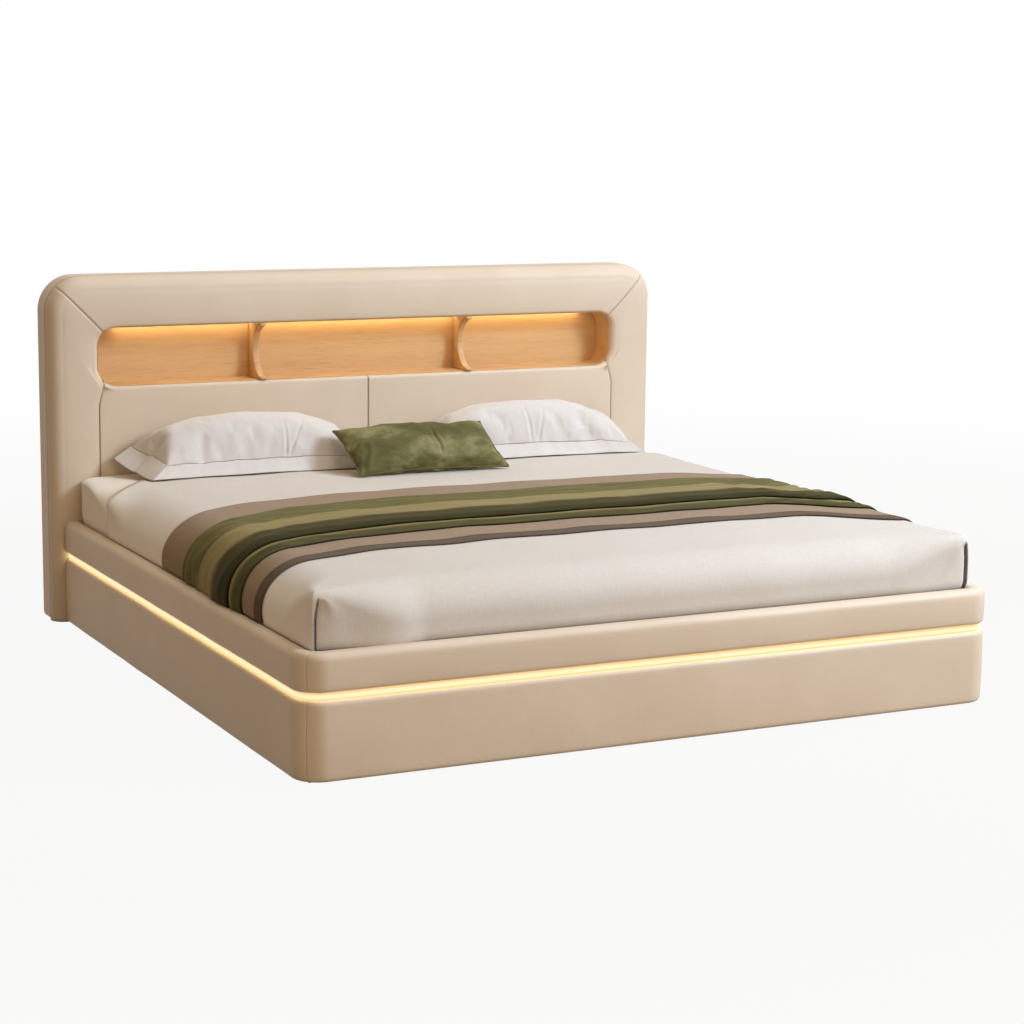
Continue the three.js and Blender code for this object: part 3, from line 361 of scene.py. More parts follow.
def creviceShade(tree, colour, depth=0.88, deep=(38, 27, 18)):
    # painted shade: darkens a colour where the piece's own shade value is high, under folded edges and in
    # seams
    return mixColours(tree, math(tree, "MULTIPLY", ownValue(tree, "shade"), depth), colour, srgb(deep))


def leatherMaterial(name, colour, dark):
    material, tree, shader = newMaterial(name, colour, 0.52, specular=0.4)
    grain = placeOn(tree, leatherGrain)
    body = mixColours(tree, remap(tree, grain["Tone"], 0.3, 0.7), srgb(dark), srgb(colour))
    dress(tree, shader, creviceShade(tree, body, 0.75, (92, 70, 48)),
          remap(tree, grain["Height"], 0.2, 1.2, 0.46, 0.6), grain["Height"], 0.35, 0.0006)
    return material


def clothMaterial(name, colour, shade, threads, slub, sheen=0.15, specular=0.2, hanging=None,
                  coordinate="cloth"):
    # hanging is painted light: the paler colour put where the piece's own pale value marks a side that the
    # cloth hangs down
    material, tree, shader = newMaterial(name, colour, 0.9, sheen=sheen, specular=specular)
    weave = placeOn(tree, clothWeave, coordinate, Threads=threads, Slub=slub)
    cloth = mixColours(tree, remap(tree, weave["Tone"], 0.35, 0.65), srgb(shade), srgb(colour))
    if hanging:
        cloth = mixColours(tree, ownValue(tree, "pale"), cloth, srgb(hanging))
    dress(tree, shader, creviceShade(tree, cloth), remap(tree, weave["Tone"], 0.3, 0.7, 0.82, 0.96),
          weave["Height"], 0.4, 0.0006)
    return material


def velvetMaterial(name, colour, pale, dark, across, sheenColour=None, sheen=0.25, specular=0.2):
    # the given lit colour is a painted sheen, put where the piece's own sheen value is high; where it is low
    # a shaded dark green is painted
    material, tree, shader = newMaterial(name, colour, 0.75, sheen=sheen, specular=specular)
    feed(tree, shader, {"Sheen Roughness": 0.4, "Sheen Tint": srgb(pale)})
    mottle = placeOn(tree, softMottle, "cloth", Along=5.0, Across=across)
    cloth = mixColours(tree, remap(tree, mottle["Patch"], 0.32, 0.5), srgb(dark), srgb(colour))
    cloth = mixColours(tree, remap(tree, mottle["Patch"], 0.5, 0.7), cloth, srgb(pale))
    if sheenColour:
        paintedSheen = mixColours(tree, ownValue(tree, "paintedSheen"), srgb((66, 68, 34)), srgb(sheenColour))
        cloth = mixColours(tree, 0.55, cloth, paintedSheen)
    dress(tree, shader, creviceShade(tree, cloth, 0.95, (32, 27, 8)),
          remap(tree, mottle["Pile"], 0.3, 0.7, 0.65, 0.9), mottle["Pile"], 0.25, 0.0006)
    return material


def oakMaterial(name, colour, dark, pale):
    material, tree, shader = newMaterial(name, colour, 0.45, specular=0.4)
    grain = placeOn(tree, oakGrain)
    body = mixColours(tree, remap(tree, grain["Streak"], 0.3, 0.7), srgb(pale), srgb(colour))
    dress(tree, shader, mixColours(tree, remap(tree, grain["Pore"], 0.28, 0.42, 0.38, 0.0), body, srgb(dark)),
          remap(tree, grain["Streak"], 0.3, 0.7, 0.38, 0.52), grain["Pore"], 0.15, 0.0004)
    return material


def plainMaterial(name, colour, roughness, metallic=0.0, depth=0.0002, shade=0.85):
    # paint, plastic or metal with a fine surface, a little uneven in tone
    material, tree, shader = newMaterial(name, colour, roughness, metallic)
    source = ownPlace(tree)
    broad = noise(tree, source, 9.0, 3.0, 0.6)
    darker = (*(channel * shade for channel in srgb(colour)[:3]), 1.0)
    dress(tree, shader, mixColours(tree, remap(tree, broad, 0.3, 0.7), darker, srgb(colour)),
          remap(tree, broad, 0.3, 0.7, roughness * 0.85, min(1.0, roughness * 1.15)),
          noise(tree, source, 350.0, 3.0, 0.6), 0.3, depth)
    return material


def glowMaterial(name, core, edge, seen, cast, low, high, axis):
    # a lit diffuser: pale along its middle, deeper toward its edges. It casts more light than it shows,
    # as a camera set for the room would see it.
    material, tree, shader = newMaterial(name, (120, 108, 88), 0.6)
    across = put(tree, "ShaderNodeSeparateXYZ", {0: ownPlace(tree)})[axis]
    off = math(tree, "ABSOLUTE", remap(tree, across, low, high, -1.0, 1.0))
    camera = put(tree, "ShaderNodeLightPath", {})["Is Camera Ray"]
    glow = mixColours(tree, remap(tree, off, 0.35, 1.0), srgb(core), srgb(edge))
    strength = remap(tree, camera, 0.0, 1.0, cast, seen)
    feed(tree, shader, {"Emission Color": glow, "Emission Strength": strength})
    return material


leather = leatherMaterial("leather", (216, 197, 173), (211, 191, 166))
backingCloth = clothMaterial("backing_cloth", (78, 74, 68), (66, 62, 57), 700.0, 0.3, coordinate="Object")
oak = oakMaterial("oak", (199, 156, 103), (150, 106, 62), (211, 169, 117))
plywood = oakMaterial("plywood", (190, 156, 112), (130, 98, 62), (206, 174, 132))
linen = clothMaterial("duvet_linen", (212, 204, 193), (202, 192, 180), 700.0, 0.7, hanging=(247, 243, 238))
sheetCotton = clothMaterial("fitted_sheet", (234, 222, 205), (226, 213, 195), 1200.0, 0.3,
                            hanging=(248, 244, 238))
pillowCotton = clothMaterial("pillow_cotton", (216, 209, 202), (208, 200, 192), 1200.0, 0.3)
taupe = clothMaterial("taupe_cloth", (161, 140, 118), (144, 123, 101), 900.0, 0.5, sheen=0.05, specular=0.06)
throwVelvet = velvetMaterial("throw_velvet", (110, 105, 64), (142, 132, 90), (70, 67, 37), 62.0,
                             sheenColour=(168, 151, 108), sheen=0.08, specular=0.06)
cushionVelvet = velvetMaterial("cushion_velvet", (96, 91, 52), (150, 145, 103), (68, 64, 34), 7.0)
blackSteel = plainMaterial("black_powder_coat", (52, 53, 55), 0.5, 0.2)
chrome = plainMaterial("polished_rod", (214, 216, 219), 0.14, 1.0, depth=0.00002, shade=0.95)
aluminium = plainMaterial("anodised_aluminium", (196, 198, 201), 0.35, 0.9)
blackPlastic = plainMaterial("black_plastic", (40, 40, 42), 0.5)
print("materials ready")


# Base: padded covers carried round the foot end, with the light between them

basePanels = {
    "cornerRadius": 0.075,
    "cornerSteps": 40,
    "lowerRoll": 0.012,
    "railRoll": 0.020,
    "innerRoll": 0.021,
    "sharp": 0.0006,
    "gap": 0.0003,
    "puff": 0.0022,
    "uneven": 0.0006,
    "unevenScale": 0.34,
    "outerFace": 0.004,
    "padDeep": 0.03,
    "seamDip": 0.0006,
    "seamWidth": 0.003,
    "lightThick": 0.0045,
    "lightRoll": 0.003,
}


def basePlan():
    # the base's outline from the left head end round the foot to the right one, and its outward normals
    low, high = boxOf("rail_pad_left")
    side, foot, radius = -low[0], boxOf("rail_pad_foot")[0][1], basePanels["cornerRadius"]
    left = pointsAt(-side, np.linspace(high[1], foot + radius, 90))
    across = pointsAt(np.linspace(-side + radius, side - radius, 100), foot)
    half = joinedPath(left, arc(-side + radius, foot + radius, radius, 180, 270, basePanels["cornerSteps"]))
    path = joinedPath(half, across, half[::-1] * [-1, 1])
    centre = pointsAt(np.clip(path[:, 0], -side + radius, side - radius),
                      np.maximum(path[:, 1], foot + radius))
    return path, unit(path - centre), len(half)


def baseCover(kind, part, profile):
    # the profile's (inset, height) carried along a stretch of the outline, drawn in at its seams;
    # the seams are half way round the corners
    path, normal, half = basePlan()
    left = half - 1 - basePanels["cornerSteps"] // 2
    right = len(path) - left
    start, end = {"left": (0, left + 1), "foot": (left, right), "right": (right - 1, len(path))}[part]
    path, normal = path[start:end], normal[start:end]
    length = lengthsAlong(path)
    toEnd = length[-1] - length
    fromSeam = {"left": toEnd, "right": length, "foot": np.minimum(length, toEnd)}[part]
    dip = basePanels["seamDip"] * bell(fromSeam, basePanels["seamWidth"])
    uneven = basePanels["uneven"] * waves(length[:, None], profile[None, :, 1], 11, basePanels["unevenScale"])
    inset = profile[:, 0] + dip[:, None] + uneven * (profile[:, 0] < basePanels["outerFace"])
    piece = sweptSolid(kind + "_cover_" + part, carried(path, normal, inset, profile[:, 1]), leather)
    finishPiece(piece, "bed_base", "leather", kind + "_pad_" + part)


def puffed(corners, low, high):
    # a padded profile whose outer face swells by a parabola between its rolls
    profile = roundedLoop(corners, spacing=0.012)
    share = np.clip((profile[:, 1] - low) / (high - low), 0, 1)
    swell = basePanels["puff"] * 4 * share * (1 - share) * (profile[:, 0] < basePanels["padDeep"])
    return pointsAt(profile[:, 0] - swell, profile[:, 1])


def buildBase():
    low, high = boxOf("rail_pad_left")
    boardLow, boardHigh = boxOf("side_board_left")
    sharp, roll, outer = basePanels["sharp"], basePanels["lowerRoll"], -low[0]
    pad, ledge = outer + boardLow[0] - basePanels["gap"], boardHigh[2] + basePanels["gap"]
    wrap = high[0] + outer
    rail = puffed([
        (pad, low[2], sharp), (0, low[2], roll), (0, high[2], basePanels["railRoll"]),
        (wrap, high[2], basePanels["innerRoll"]), (wrap, ledge, sharp), (pad, ledge, sharp)], low[2], high[2])
    low, high = boxOf("lower_pad_left")
    lower = puffed([(pad, low[2], sharp), (0, low[2], roll), (0, high[2], roll), (pad, high[2], sharp)],
                   low[2], high[2])
    for part in ("left", "foot", "right"):
        baseCover("rail", part, rail)
        baseCover("lower", part, lower)
    low, high = boxOf("led_strip")
    inset, roll = outer - high[0], basePanels["lightRoll"]
    back = inset + basePanels["lightThick"]
    strip = roundedLoop([(back, low[2], 0.0005), (inset, low[2], roll), (inset, high[2], roll),
                         (back, high[2], 0.0005)], steps=3, spacing=0.004)
    path, normal, _ = basePlan()
    glow = glowMaterial("groove_light", (253, 238, 190), (236, 190, 122), 0.95, 3.2,
                        float(low[2]), float(high[2]), 2)
    loops = carried(path, normal, strip[None, :, 0], strip[:, 1])
    finishPiece(sweptSolid("groove_light", loops, glow), "bed_base", "light", "led_strip")
    print("base covers and groove light built")


buildBase()


# Headboard: five padded covers round the niche, the wrapped carcass behind them

headboard = {
    "cornerRadius": 0.115,
    "frontRoll": 0.046,
    "nicheRadius": 0.056,
    "nicheWall": 0.010,
    "mouthInset": 0.008,
    "mouthRoll": 0.012,
    "mouthSideRoll": 0.026,
    "liningStart": 0.75,
    "seamRoll": 0.006,
    "seamDip": 0.0028,
    "seamWidth": 0.0032,
    "seamShadeWidth": 0.0014,
    "seamShadeDark": 0.8,
    "seamDarkWidth": 0.002,
    "postRows": (0.016, 0.0014, 0.012),
    "topRows": (0.020, 0.0014, 0.012),
    "lowerRows": (0.020, 0.0012, 0.010),
    "widenFrom": -0.05,
    "widenTo": 0.045,
    "crown": 0.004,
    "crownReach": 0.3,
    "seamBendLow": 0.700,
    "carcassWall": 0.110,
    "carcassEdge": 0.006,
    "carcassFoot": 0.02,
    "lightProud": 0.0012,
}


def headSizes():
    low, high = boxOf("headboard_carcass")
    padLow, padHigh = boxOf("pad_post_left")
    linerLow, linerHigh = boxOf("niche_liner")
    inset = headboard["mouthInset"]
    return {
        "half": high[0], "top": high[2], "front": padLow[1], "seam": padHigh[1], "bottom": padLow[2],
        "carcassFront": low[1], "carcassBack": high[1], "nicheBack": linerHigh[1], "nicheHigh": linerHigh[2],
        "seamX": -boxOf("pad_lower_left")[0][0], "mouthHalf": linerHigh[0] - inset,
        "mouthLow": linerLow[2] + inset, "mouthHigh": linerHigh[2] - inset,
        "mouthRadius": headboard["nicheRadius"] + headboard["nicheWall"] - inset,
    }


def mitre(size, x, z, depth, width):
    # a groove, or its painted shade, along the seams that run at 45 degrees from the niche's upper corners
    r, outer = size["mouthRadius"], headboard["cornerRadius"]
    inner = size["mouthHigh"] - r + (-size["mouthHalf"] + r)
    middle = (inner + size["top"] - outer + (-size["half"] + outer)) / 2
    off = np.abs(-np.abs(x) + z - middle) / 2 ** 0.5
    return depth * bell(off, width) * (z > size["mouthLow"] + r)


def headOutline(size, start, end):
    # a stretch of the headboard's rounded corner at the left, by angle
    r = headboard["cornerRadius"]
    return arc(-size["half"] + r, size["top"] - r, r, start, end, 14)


def coverRows(size, edges, flatSteps=26):
    # rows from the inner edge over its roll, across the flat front and round the outer roll to the seam.
    # Each edge is its points, its way to the flat and its rolls. A roll of radius r leaves the front
    # plane by r(1 - cos a) while it runs out by r sin a.
    deep = size["seam"] - size["front"]
    plans, depths = [], []
    for (edge, toward, roll), turn in zip(edges, (np.linspace(pi / 2, 0, 9), np.linspace(0, pi / 2, 15))):
        roll = roll * np.ones((len(edge), 1))
        plans.append(edge[:, None] + toward[:, None] * (roll * (1 - np.sin(turn)))[..., None])
        depths.append(roll * (1 - np.cos(turn)))
    share = np.linspace(0, 1, flatSteps)[None, 1:-1]
    crown = -headboard["crown"] * np.sin(pi * share) ** 0.6 * np.ones((len(plans[0]), 1))
    flat = between(plans[0][:, -1:], plans[1][:, :1], share[..., None])
    plan = np.concatenate([edges[0][0][:, None], plans[0], flat, plans[1], edges[1][0][:, None]], 1)
    rim = np.full((len(plan), 1), deep)
    depth = np.concatenate([rim, depths[0], crown, depths[1], rim], 1)
    dip = mitre(size, plan[..., 0], plan[..., 1], headboard["seamDip"], headboard["seamWidth"])
    return pointsAt(plan[..., 0], size["front"] + np.minimum(depth + dip, deep), plan[..., 1])


def seamShade(size, rows):
    # painted shade: dark at the mitre seams and in the gaps where the covers meet the carcass
    dark = mitre(size, rows[..., 0], rows[..., 2], headboard["seamShadeDark"], headboard["seamShadeWidth"])
    dark[:, -2:] = 1.0
    return dark


def seamLine(size, z):
    # the lower seam goes straight up, then leans in to the niche's rounded corner
    r = size["mouthRadius"]
    cornerX = size["mouthHalf"] - r + r * cos(pi / 4)
    cornerZ = size["mouthLow"] + r - r * sin(pi / 4)
    return between(size["seamX"], cornerX, smoothStep(headboard["seamBendLow"], cornerZ, z)), cornerZ


def mouthRolls(normal):
    # the cover's roll into the niche is wider at the niche's ends than along its top and bottom
    return between(headboard["mouthRoll"], headboard["mouthSideRoll"], normal[:, 0:1] ** 2)


def headCover(name, node, rows, shade):
    piece = sweptSolid(name, rows, leather)
    giveAttribute(piece, "shade", shade)
    finishPiece(piece, "bed_base", "leather", node)


def buildPostCovers(size):
    r, half, outerR = size["mouthRadius"], size["mouthHalf"], headboard["cornerRadius"]
    cornerZ = seamLine(size, 0)[1]
    heights = np.linspace(size["bottom"], cornerZ, 60)
    innerPath = joinedPath(
        pointsAt(-seamLine(size, heights)[0], heights), arc(-half + r, size["mouthLow"] + r, r, 225, 180, 10),
        arc(-half + r, size["mouthHigh"] - r, r, 180, 135, 10))
    outerPath = joinedPath([[-size["half"], size["bottom"]]], headOutline(size, 180, 135))
    length = lengthsAlong(innerPath)[-1]
    shares = denseShares(length, *headboard["postRows"])
    shares = np.concatenate([[0, 0.01], shares[shares > headboard["postRows"][2] / length]])
    inner, outer = alongPath(innerPath, shares), alongPath(outerPath, shares)
    run = unit(np.gradient(inner, axis=0))
    innerNormal = pointsAt(-run[:, 1], run[:, 0])
    centre = np.array([-size["half"] + outerR, size["top"] - outerR])
    outerNormal = np.where(outer[:, 1:] > centre[1], (outer - centre) / outerR, [-1.0, 0.0])
    atNiche = smoothStep(cornerZ + headboard["widenFrom"], cornerZ + headboard["widenTo"], inner[:, 1:])
    innerRoll = between(headboard["seamRoll"], mouthRolls(innerNormal), atNiche)
    rows = coverRows(size, ((inner, innerNormal, innerRoll), (outer, -outerNormal, headboard["frontRoll"])))
    shade = seamShade(size, rows)
    # painted shade along the seam with the lower cover, below the niche
    shade[:, :3] = np.maximum(shade[:, :3], headboard["seamShadeDark"] * (1 - atNiche))
    for side, turned in (("left", 1), ("right", -1)):
        headCover("post_cover_" + side, "pad_post_" + side, rows * [turned, 1, 1], shade)


def buildTopCover(size):
    r, half, high = size["mouthRadius"], size["mouthHalf"], size["mouthHigh"]
    outerR = headboard["cornerRadius"]
    corner = headOutline(size, 135, 90)
    innerPath = joinedPath(arc(-half + r, high - r, r, 135, 90, 10), arc(half - r, high - r, r, 90, 45, 10))
    outerPath = joinedPath(corner, (corner * [-1, 1])[::-1])
    shares = denseShares(lengthsAlong(innerPath)[-1], *headboard["topRows"])
    inner, outer = alongPath(innerPath, shares), alongPath(outerPath, shares)
    flat, outerFlat = half - r, size["half"] - outerR
    innerNormal = unit(inner - pointsAt(np.clip(inner[:, 0], -flat, flat), high - r))
    outerNormal = unit(outer - pointsAt(np.clip(outer[:, 0], -outerFlat, outerFlat), size["top"] - outerR))
    rows = coverRows(size, ((inner, innerNormal, mouthRolls(innerNormal)),
                            (outer, -outerNormal, headboard["frontRoll"])), flatSteps=16)
    headCover("top_cover", "pad_top", rows, seamShade(size, rows))


def buildLowerCovers(size):
    # each cover's columns rise from the floor edge to the niche's lower edge and over its roll
    r, half, nicheLow = size["mouthRadius"], size["mouthHalf"], size["mouthLow"]
    seamR = headboard["seamRoll"]
    bottom = np.array([[-size["seamX"], size["bottom"]], [0, size["bottom"]]])
    mouth = joinedPath(arc(-half + r, nicheLow + r, r, 225, 270, 12), [[0, nicheLow]])
    shares = denseShares(size["seamX"], *headboard["lowerRows"])
    low, high = alongPath(bottom, shares), alongPath(mouth, shares)
    toward = unit(high - pointsAt(np.clip(high[:, 0], -half + r, 0), nicheLow + r))
    roll, turn = mouthRolls(toward), np.linspace(0, pi / 2, 9)
    below = high + toward * roll
    z = between(low[:, 1:], below[:, 1:], np.linspace(0, 1, 44))
    bend = smoothStep(headboard["seamBendLow"], seamLine(size, 0)[1], z)
    over = below[:, None] - toward[:, None] * (roll * np.sin(turn[1:]))[..., None]
    column = pointsAt(between(low[:, :1], below[:, :1], bend), z)
    plan = np.concatenate([low[:, None], column, over, high[:, None]], 1)
    fromSeam = np.minimum(plan[..., 0] + seamLine(size, plan[..., 1])[0], -plan[..., 0])
    depth = seamR * (1 - np.sqrt(1 - np.clip(1 - fromSeam / seamR, 0, 1) ** 2))
    rise = np.clip((plan[..., 1] - size["bottom"]) / (nicheLow - size["bottom"]), 0, 1)
    fromSide = np.clip(fromSeam / headboard["crownReach"], 0, 1)
    depth -= headboard["crown"] * np.sin(pi / 2 * fromSide) ** 0.6 * np.sin(pi * rise) ** 0.6
    depth[:, -10:-1] = np.maximum(depth[:, -10:-1], roll * (1 - np.cos(turn)))
    depth[:, 0] = depth[:, -1] = size["seam"] - size["front"]
    rows = pointsAt(plan[..., 0], size["front"] + depth, plan[..., 1])
    # painted shade along the lower covers' seams
    for side, turned in (("left", 1), ("right", -1)):
        headCover("lower_cover_head_" + side, "pad_lower_" + side, rows * [turned, 1, 1],
                  headboard["seamShadeDark"] * bell(fromSeam, headboard["seamDarkWidth"]))


def closedOutline(halfWidth, low, high, radius, lowRadius, steps, spacing):
    # a rounded outline in x and z, run once round, and its outward normals
    path = roundedLoop([(-halfWidth, low, lowRadius), (-halfWidth, high, radius),
                        (halfWidth, high, radius), (halfWidth, low, lowRadius)], steps, spacing)
    r = np.where(path[:, 1] > (low + high) / 2, radius, lowRadius)
    centre = pointsAt(np.clip(path[:, 0], -halfWidth + r, halfWidth - r),
                      np.clip(path[:, 1], low + lowRadius, high - radius))
    return path, unit(path - centre)


def buildCarcass(size):
    outline, normal = closedOutline(size["half"], 0.0, size["top"], headboard["cornerRadius"],
                                    headboard["carcassFoot"], 22, 0.04)
    front, back = size["carcassFront"], size["carcassBack"]
    edge, wall = headboard["carcassEdge"], headboard["carcassWall"]
    profile = roundedLoop([(0.0, front, edge), (0.0, back, edge), (wall, back, 0.0006),
                           (wall, front, 0.0006)], spacing=0.012)
    loops = carried(outline, normal, profile[None, :, 0], profile[:, 1])[..., [0, 2, 1]]
    piece = sweptSolid("carcass_wrap", loops, leather, closedPath=True)
    finishPiece(piece, "bed_base", "leather", "headboard_carcass")


def buildNiche(size):
    # the lining's front edge keeps just inside the leather's roll, which is deeper at the niche's ends
    r, front, back = size["mouthRadius"], size["front"], size["nicheBack"]
    outline, normal = closedOutline(size["mouthHalf"], size["mouthLow"], size["mouthHigh"], r, r, 20, 0.02)
    wall = headboard["nicheWall"] - headboard["mouthInset"]
    start = front + headboard["liningStart"] * headboard["mouthRoll"]
    profile = roundedLoop([(0.0004, start, 0.0004), (0.0004, back, 0.0003), (wall, back, 0.0003),
                           (wall, start, 0.0006)], steps=4, spacing=0.012)
    begin = front + headboard["liningStart"] * mouthRolls(normal)
    depth = between(begin, back, (profile[:, 1] - start) / (back - start))
    loops = carried(outline, normal, profile[None, :, 0], depth)[..., [0, 2, 1]]
    finishPiece(sweptSolid("niche_lining", loops, oak, closedPath=True), "bed_base", "oak", "niche_liner")
    for side in ("left", "right"):
        buildDivider("divider_" + side, "niche_divider_" + side)
    low, high = boxOf("niche_led_diffuser")
    glow = glowMaterial("niche_light", (255, 238, 196), (255, 228, 182), 17.0, 17.0,
                        float(low[1]), float(high[1]), 1)
    under = size["nicheHigh"] - headboard["nicheWall"] - headboard["lightProud"]
    section = roundedLoop([(low[1], under, 0.0008), (low[1], high[2], 0.0004), (high[1], high[2], 0.0004),
                           (high[1], under, 0.0008)], steps=3, spacing=0.003)
    strip = pointsAt(np.linspace(low[0], high[0], 60)[:, None], section[:, 0], section[:, 1])
    finishPiece(sweptSolid("niche_light", strip, glow), "bed_base", "light", "niche_led_diffuser")
    print("niche built")


divider = {
    "toe": 0.009,
    "waist": 0.042,
    "edge": 0.004,
}


def buildDivider(name, node):
    # a plate whose front edge is an elliptical scoop between two short toes, with its front edges rounded
    low, high = boxOf(node)
    angle = np.linspace(-pi / 2, pi / 2, 48)
    scoop = pointsAt(low[1] + (high[1] - low[1] - divider["waist"]) * np.cos(angle),
                     (low[2] + high[2]) / 2 + ((high[2] - low[2]) / 2 - divider["toe"]) * np.sin(angle))
    front = joinedPath([[low[1], low[2]]], scoop, [[low[1], high[2]]])
    back = pointsAt(high[1], np.linspace(low[2], high[2], len(front)))
    turn, half = np.linspace(0, pi / 2, 5), (high[0] - low[0]) / 2
    inset, setBack = divider["edge"] * (1 - np.sin(turn)), divider["edge"] * (1 - np.cos(turn))
    x = (low[0] + high[0]) / 2 + np.concatenate([[-half], (inset - half)[::-1], half - inset, [half]])
    edge = front[:, None] + unit(back - front)[:, None] * np.concatenate([setBack[::-1], setBack])[:, None]
    rows = np.concatenate([back[:, None], edge, back[:, None]], 1)
    finishPiece(sweptSolid(name, pointsAt(x, rows[..., 0], rows[..., 1]), oak), "bed_base", "oak", node)


headSize = headSizes()
buildPostCovers(headSize)
buildTopCover(headSize)
buildLowerCovers(headSize)
print("headboard covers built")
buildCarcass(headSize)
buildNiche(headSize)


# Bedding: the bed's outer form is worked out once, and mattress, duvet, runner and throw follow it

bedForm = {
    "spread": 0.0104,
    "footSpread": 0.004,
    "leftAcross": 0.155,
    "leftDrop": 0.125,
    "rightAcross": 0.045,
    "rightDrop": 0.070,
    "footAcross": 0.125,
    "footDrop": 0.100,
    "earAcross": 0.022,
    "earDrop": 0.026,
    "sideReach": 0.24,
    "footReach": 0.26,
    "headDrop": 0.034,
    "headFrom": 0.50,
    "headTo": 0.88,
    "underFrom": 0.355,
    "underDepth": 0.016,
    "underReach": 0.045,
    "relief": 0.0012,
}


def bedSizes():
    low, high = boxOf("duvet")
    return {"half": high[0] + bedForm["spread"], "foot": low[1] - bedForm["footSpread"],
            "top": high[2], "hem": low[2]}


bed = bedSizes()


def ellipseLength(across, drop):
    # a quarter of an ellipse, by the mean radius rule
    h = ((across - drop) / (across + drop)) ** 2
    return pi / 4 * (across + drop) * (1 + h / 4 + h * h / 64)


def fromEar(wide, across, drop):
    # a shoulder's reach and drop, from the tight ear at a foot corner (wide 0) to its full size (wide 1)
    return between(bedForm["earAcross"], across, wide), between(bedForm["earDrop"], drop, wide)


def shoulderAt(y, x):
    # the right shoulder is tighter than the left
    right = np.asarray(x) > 0
    across, drop = fromEar(smoothStep(0.0, bedForm["sideReach"], y - bed["foot"]),
                           np.where(right, bedForm["rightAcross"], bedForm["leftAcross"]),
                           np.where(right, bedForm["rightDrop"], bedForm["leftDrop"]))
    return across, between(drop, bedForm["headDrop"], smoothStep(bedForm["headFrom"], bedForm["headTo"], y))


def footShoulder(inner):
    # inner is how far out from the middle line the place is: 1 at the corner
    wide = smoothStep(0.0, bedForm["footReach"], (1 - inner) * bed["half"])
    return fromEar(wide, bedForm["footAcross"], bedForm["footDrop"])


def bedRelief(c, y):
    return bedForm["relief"] * waves(c, y, 3, 0.42) + 0.35 * bedForm["relief"] * waves(c, y, 4, 0.15)


def rolledUnder(z):
    # toward the hem the sides turn in by a parabola, down between the mattress and the rail
    return bedForm["underDepth"] * np.clip((bedForm["underFrom"] - z) / bedForm["underReach"], 0, 1.1) ** 2


def overBed(c, y, lift):
    # the point that lies a length c across from the bed's middle line over its top and down its side,
    # raised by lift along the form's normal: flat, then an elliptical shoulder, then a side rolled under
    across, fall = shoulderAt(y, c)
    away = np.abs(c)
    flat, shoulder = bed["half"] - across, ellipseLength(across, fall)
    angle = np.clip((away - flat) / shoulder, 0, 1) * pi / 2
    down = np.maximum(away - flat - shoulder, 0)
    share = np.clip(down / (bed["top"] - fall - bed["hem"]), 0, 1)
    z = bed["top"] - fall * (1 - np.cos(angle)) - down
    x = np.minimum(away, flat) + across * np.sin(angle) - rolledUnder(z)
    normalX, normalZ = np.sin(angle) / across, np.cos(angle) / fall
    normalX, normalZ = np.where(away <= flat, 0, normalX), np.where(away <= flat, 1, normalZ)
    long = np.hypot(normalX, normalZ)
    lift = lift + bedRelief(c, y) * (1 - share)
    return pointsAt(np.sign(c) * (x + lift * normalX / long), y, z + lift * normalZ / long)


def joinedShares(*parts):
    # runs of evenly spaced shares that follow one another up to 1, each given by its start and its count
    ends = [start for start, _ in parts[1:]] + [1.0]
    return np.concatenate([[0.0]] + [
        np.linspace(start, end, count + 1)[1:] for (start, count), end in zip(parts, ends)])


mattress = {
    "headRoll": 0.009,
    "footGap": 0.044,
    "underDuvet": 0.0012,
    "underFoot": 0.006,
    "cornerRise": 0.010,
    "cornerAcross": (0.88, 0.98),
    "cornerAlong": (0.78, 0.90),
    "cornerAbove": 0.42,
    "paleAcross": (0.88, 1.04),
}


def buildMattress():
    # one closed section per row: down both sides from the bed's form and straight across below,
    # drawn in at the head by a rolled edge and kept under the duvet's shoulder at the foot
    low, high = boxOf("mattress")
    roll, turn = mattress["headRoll"], np.linspace(0, pi / 2, 8)[1:]
    y = np.concatenate([
        np.linspace(bed["foot"] + mattress["footGap"], 0.5, 50), np.linspace(0.5, high[1] - roll, 30)[1:],
        high[1] - roll + roll * np.sin(turn)])
    drawnIn = np.concatenate([np.zeros(len(y) - len(turn)), roll * (1 - np.cos(turn))])
    reach = np.concatenate([
        np.linspace(0, 0.8, 24), np.linspace(0.8, 1.06, 34)[1:], np.linspace(1.06, 1.26, 10)[1:]])
    c, along = np.meshgrid(np.concatenate([-reach[:0:-1], reach]), y)
    under = duvet["thickness"] + mattress["underDuvet"]
    points = overBed(c, along, -under - drawnIn[:, None])
    footShare = np.clip(1 - (y - bed["foot"] - mattress["underFoot"]) / bedForm["footAcross"], 0, 1)
    ceiling = bed["top"] - under - bedForm["footDrop"] * (1 - np.sqrt(1 - footShare ** 2))
    atCorner = smoothStep(*mattress["cornerAcross"], np.abs(c)) * smoothStep(*mattress["cornerAlong"], along)
    rise = mattress["cornerRise"] * atCorner
    points[..., 2] += rise * (points[..., 2] > mattress["cornerAbove"])
    points[..., 2] = np.clip(points[..., 2], low[2], ceiling[:, None] + rise)
    piece = sweptSolid("mattress_sheet", points, sheetCotton, uv=pointsAt(c, points[..., 1]))
    # painted light: the sheet's sides are painted paler
    giveAttribute(piece, "pale", smoothStep(*mattress["paleAcross"], np.abs(c)))
    finishPiece(piece, "platform", "fitted_sheet", "mattress")
    print("mattress built")


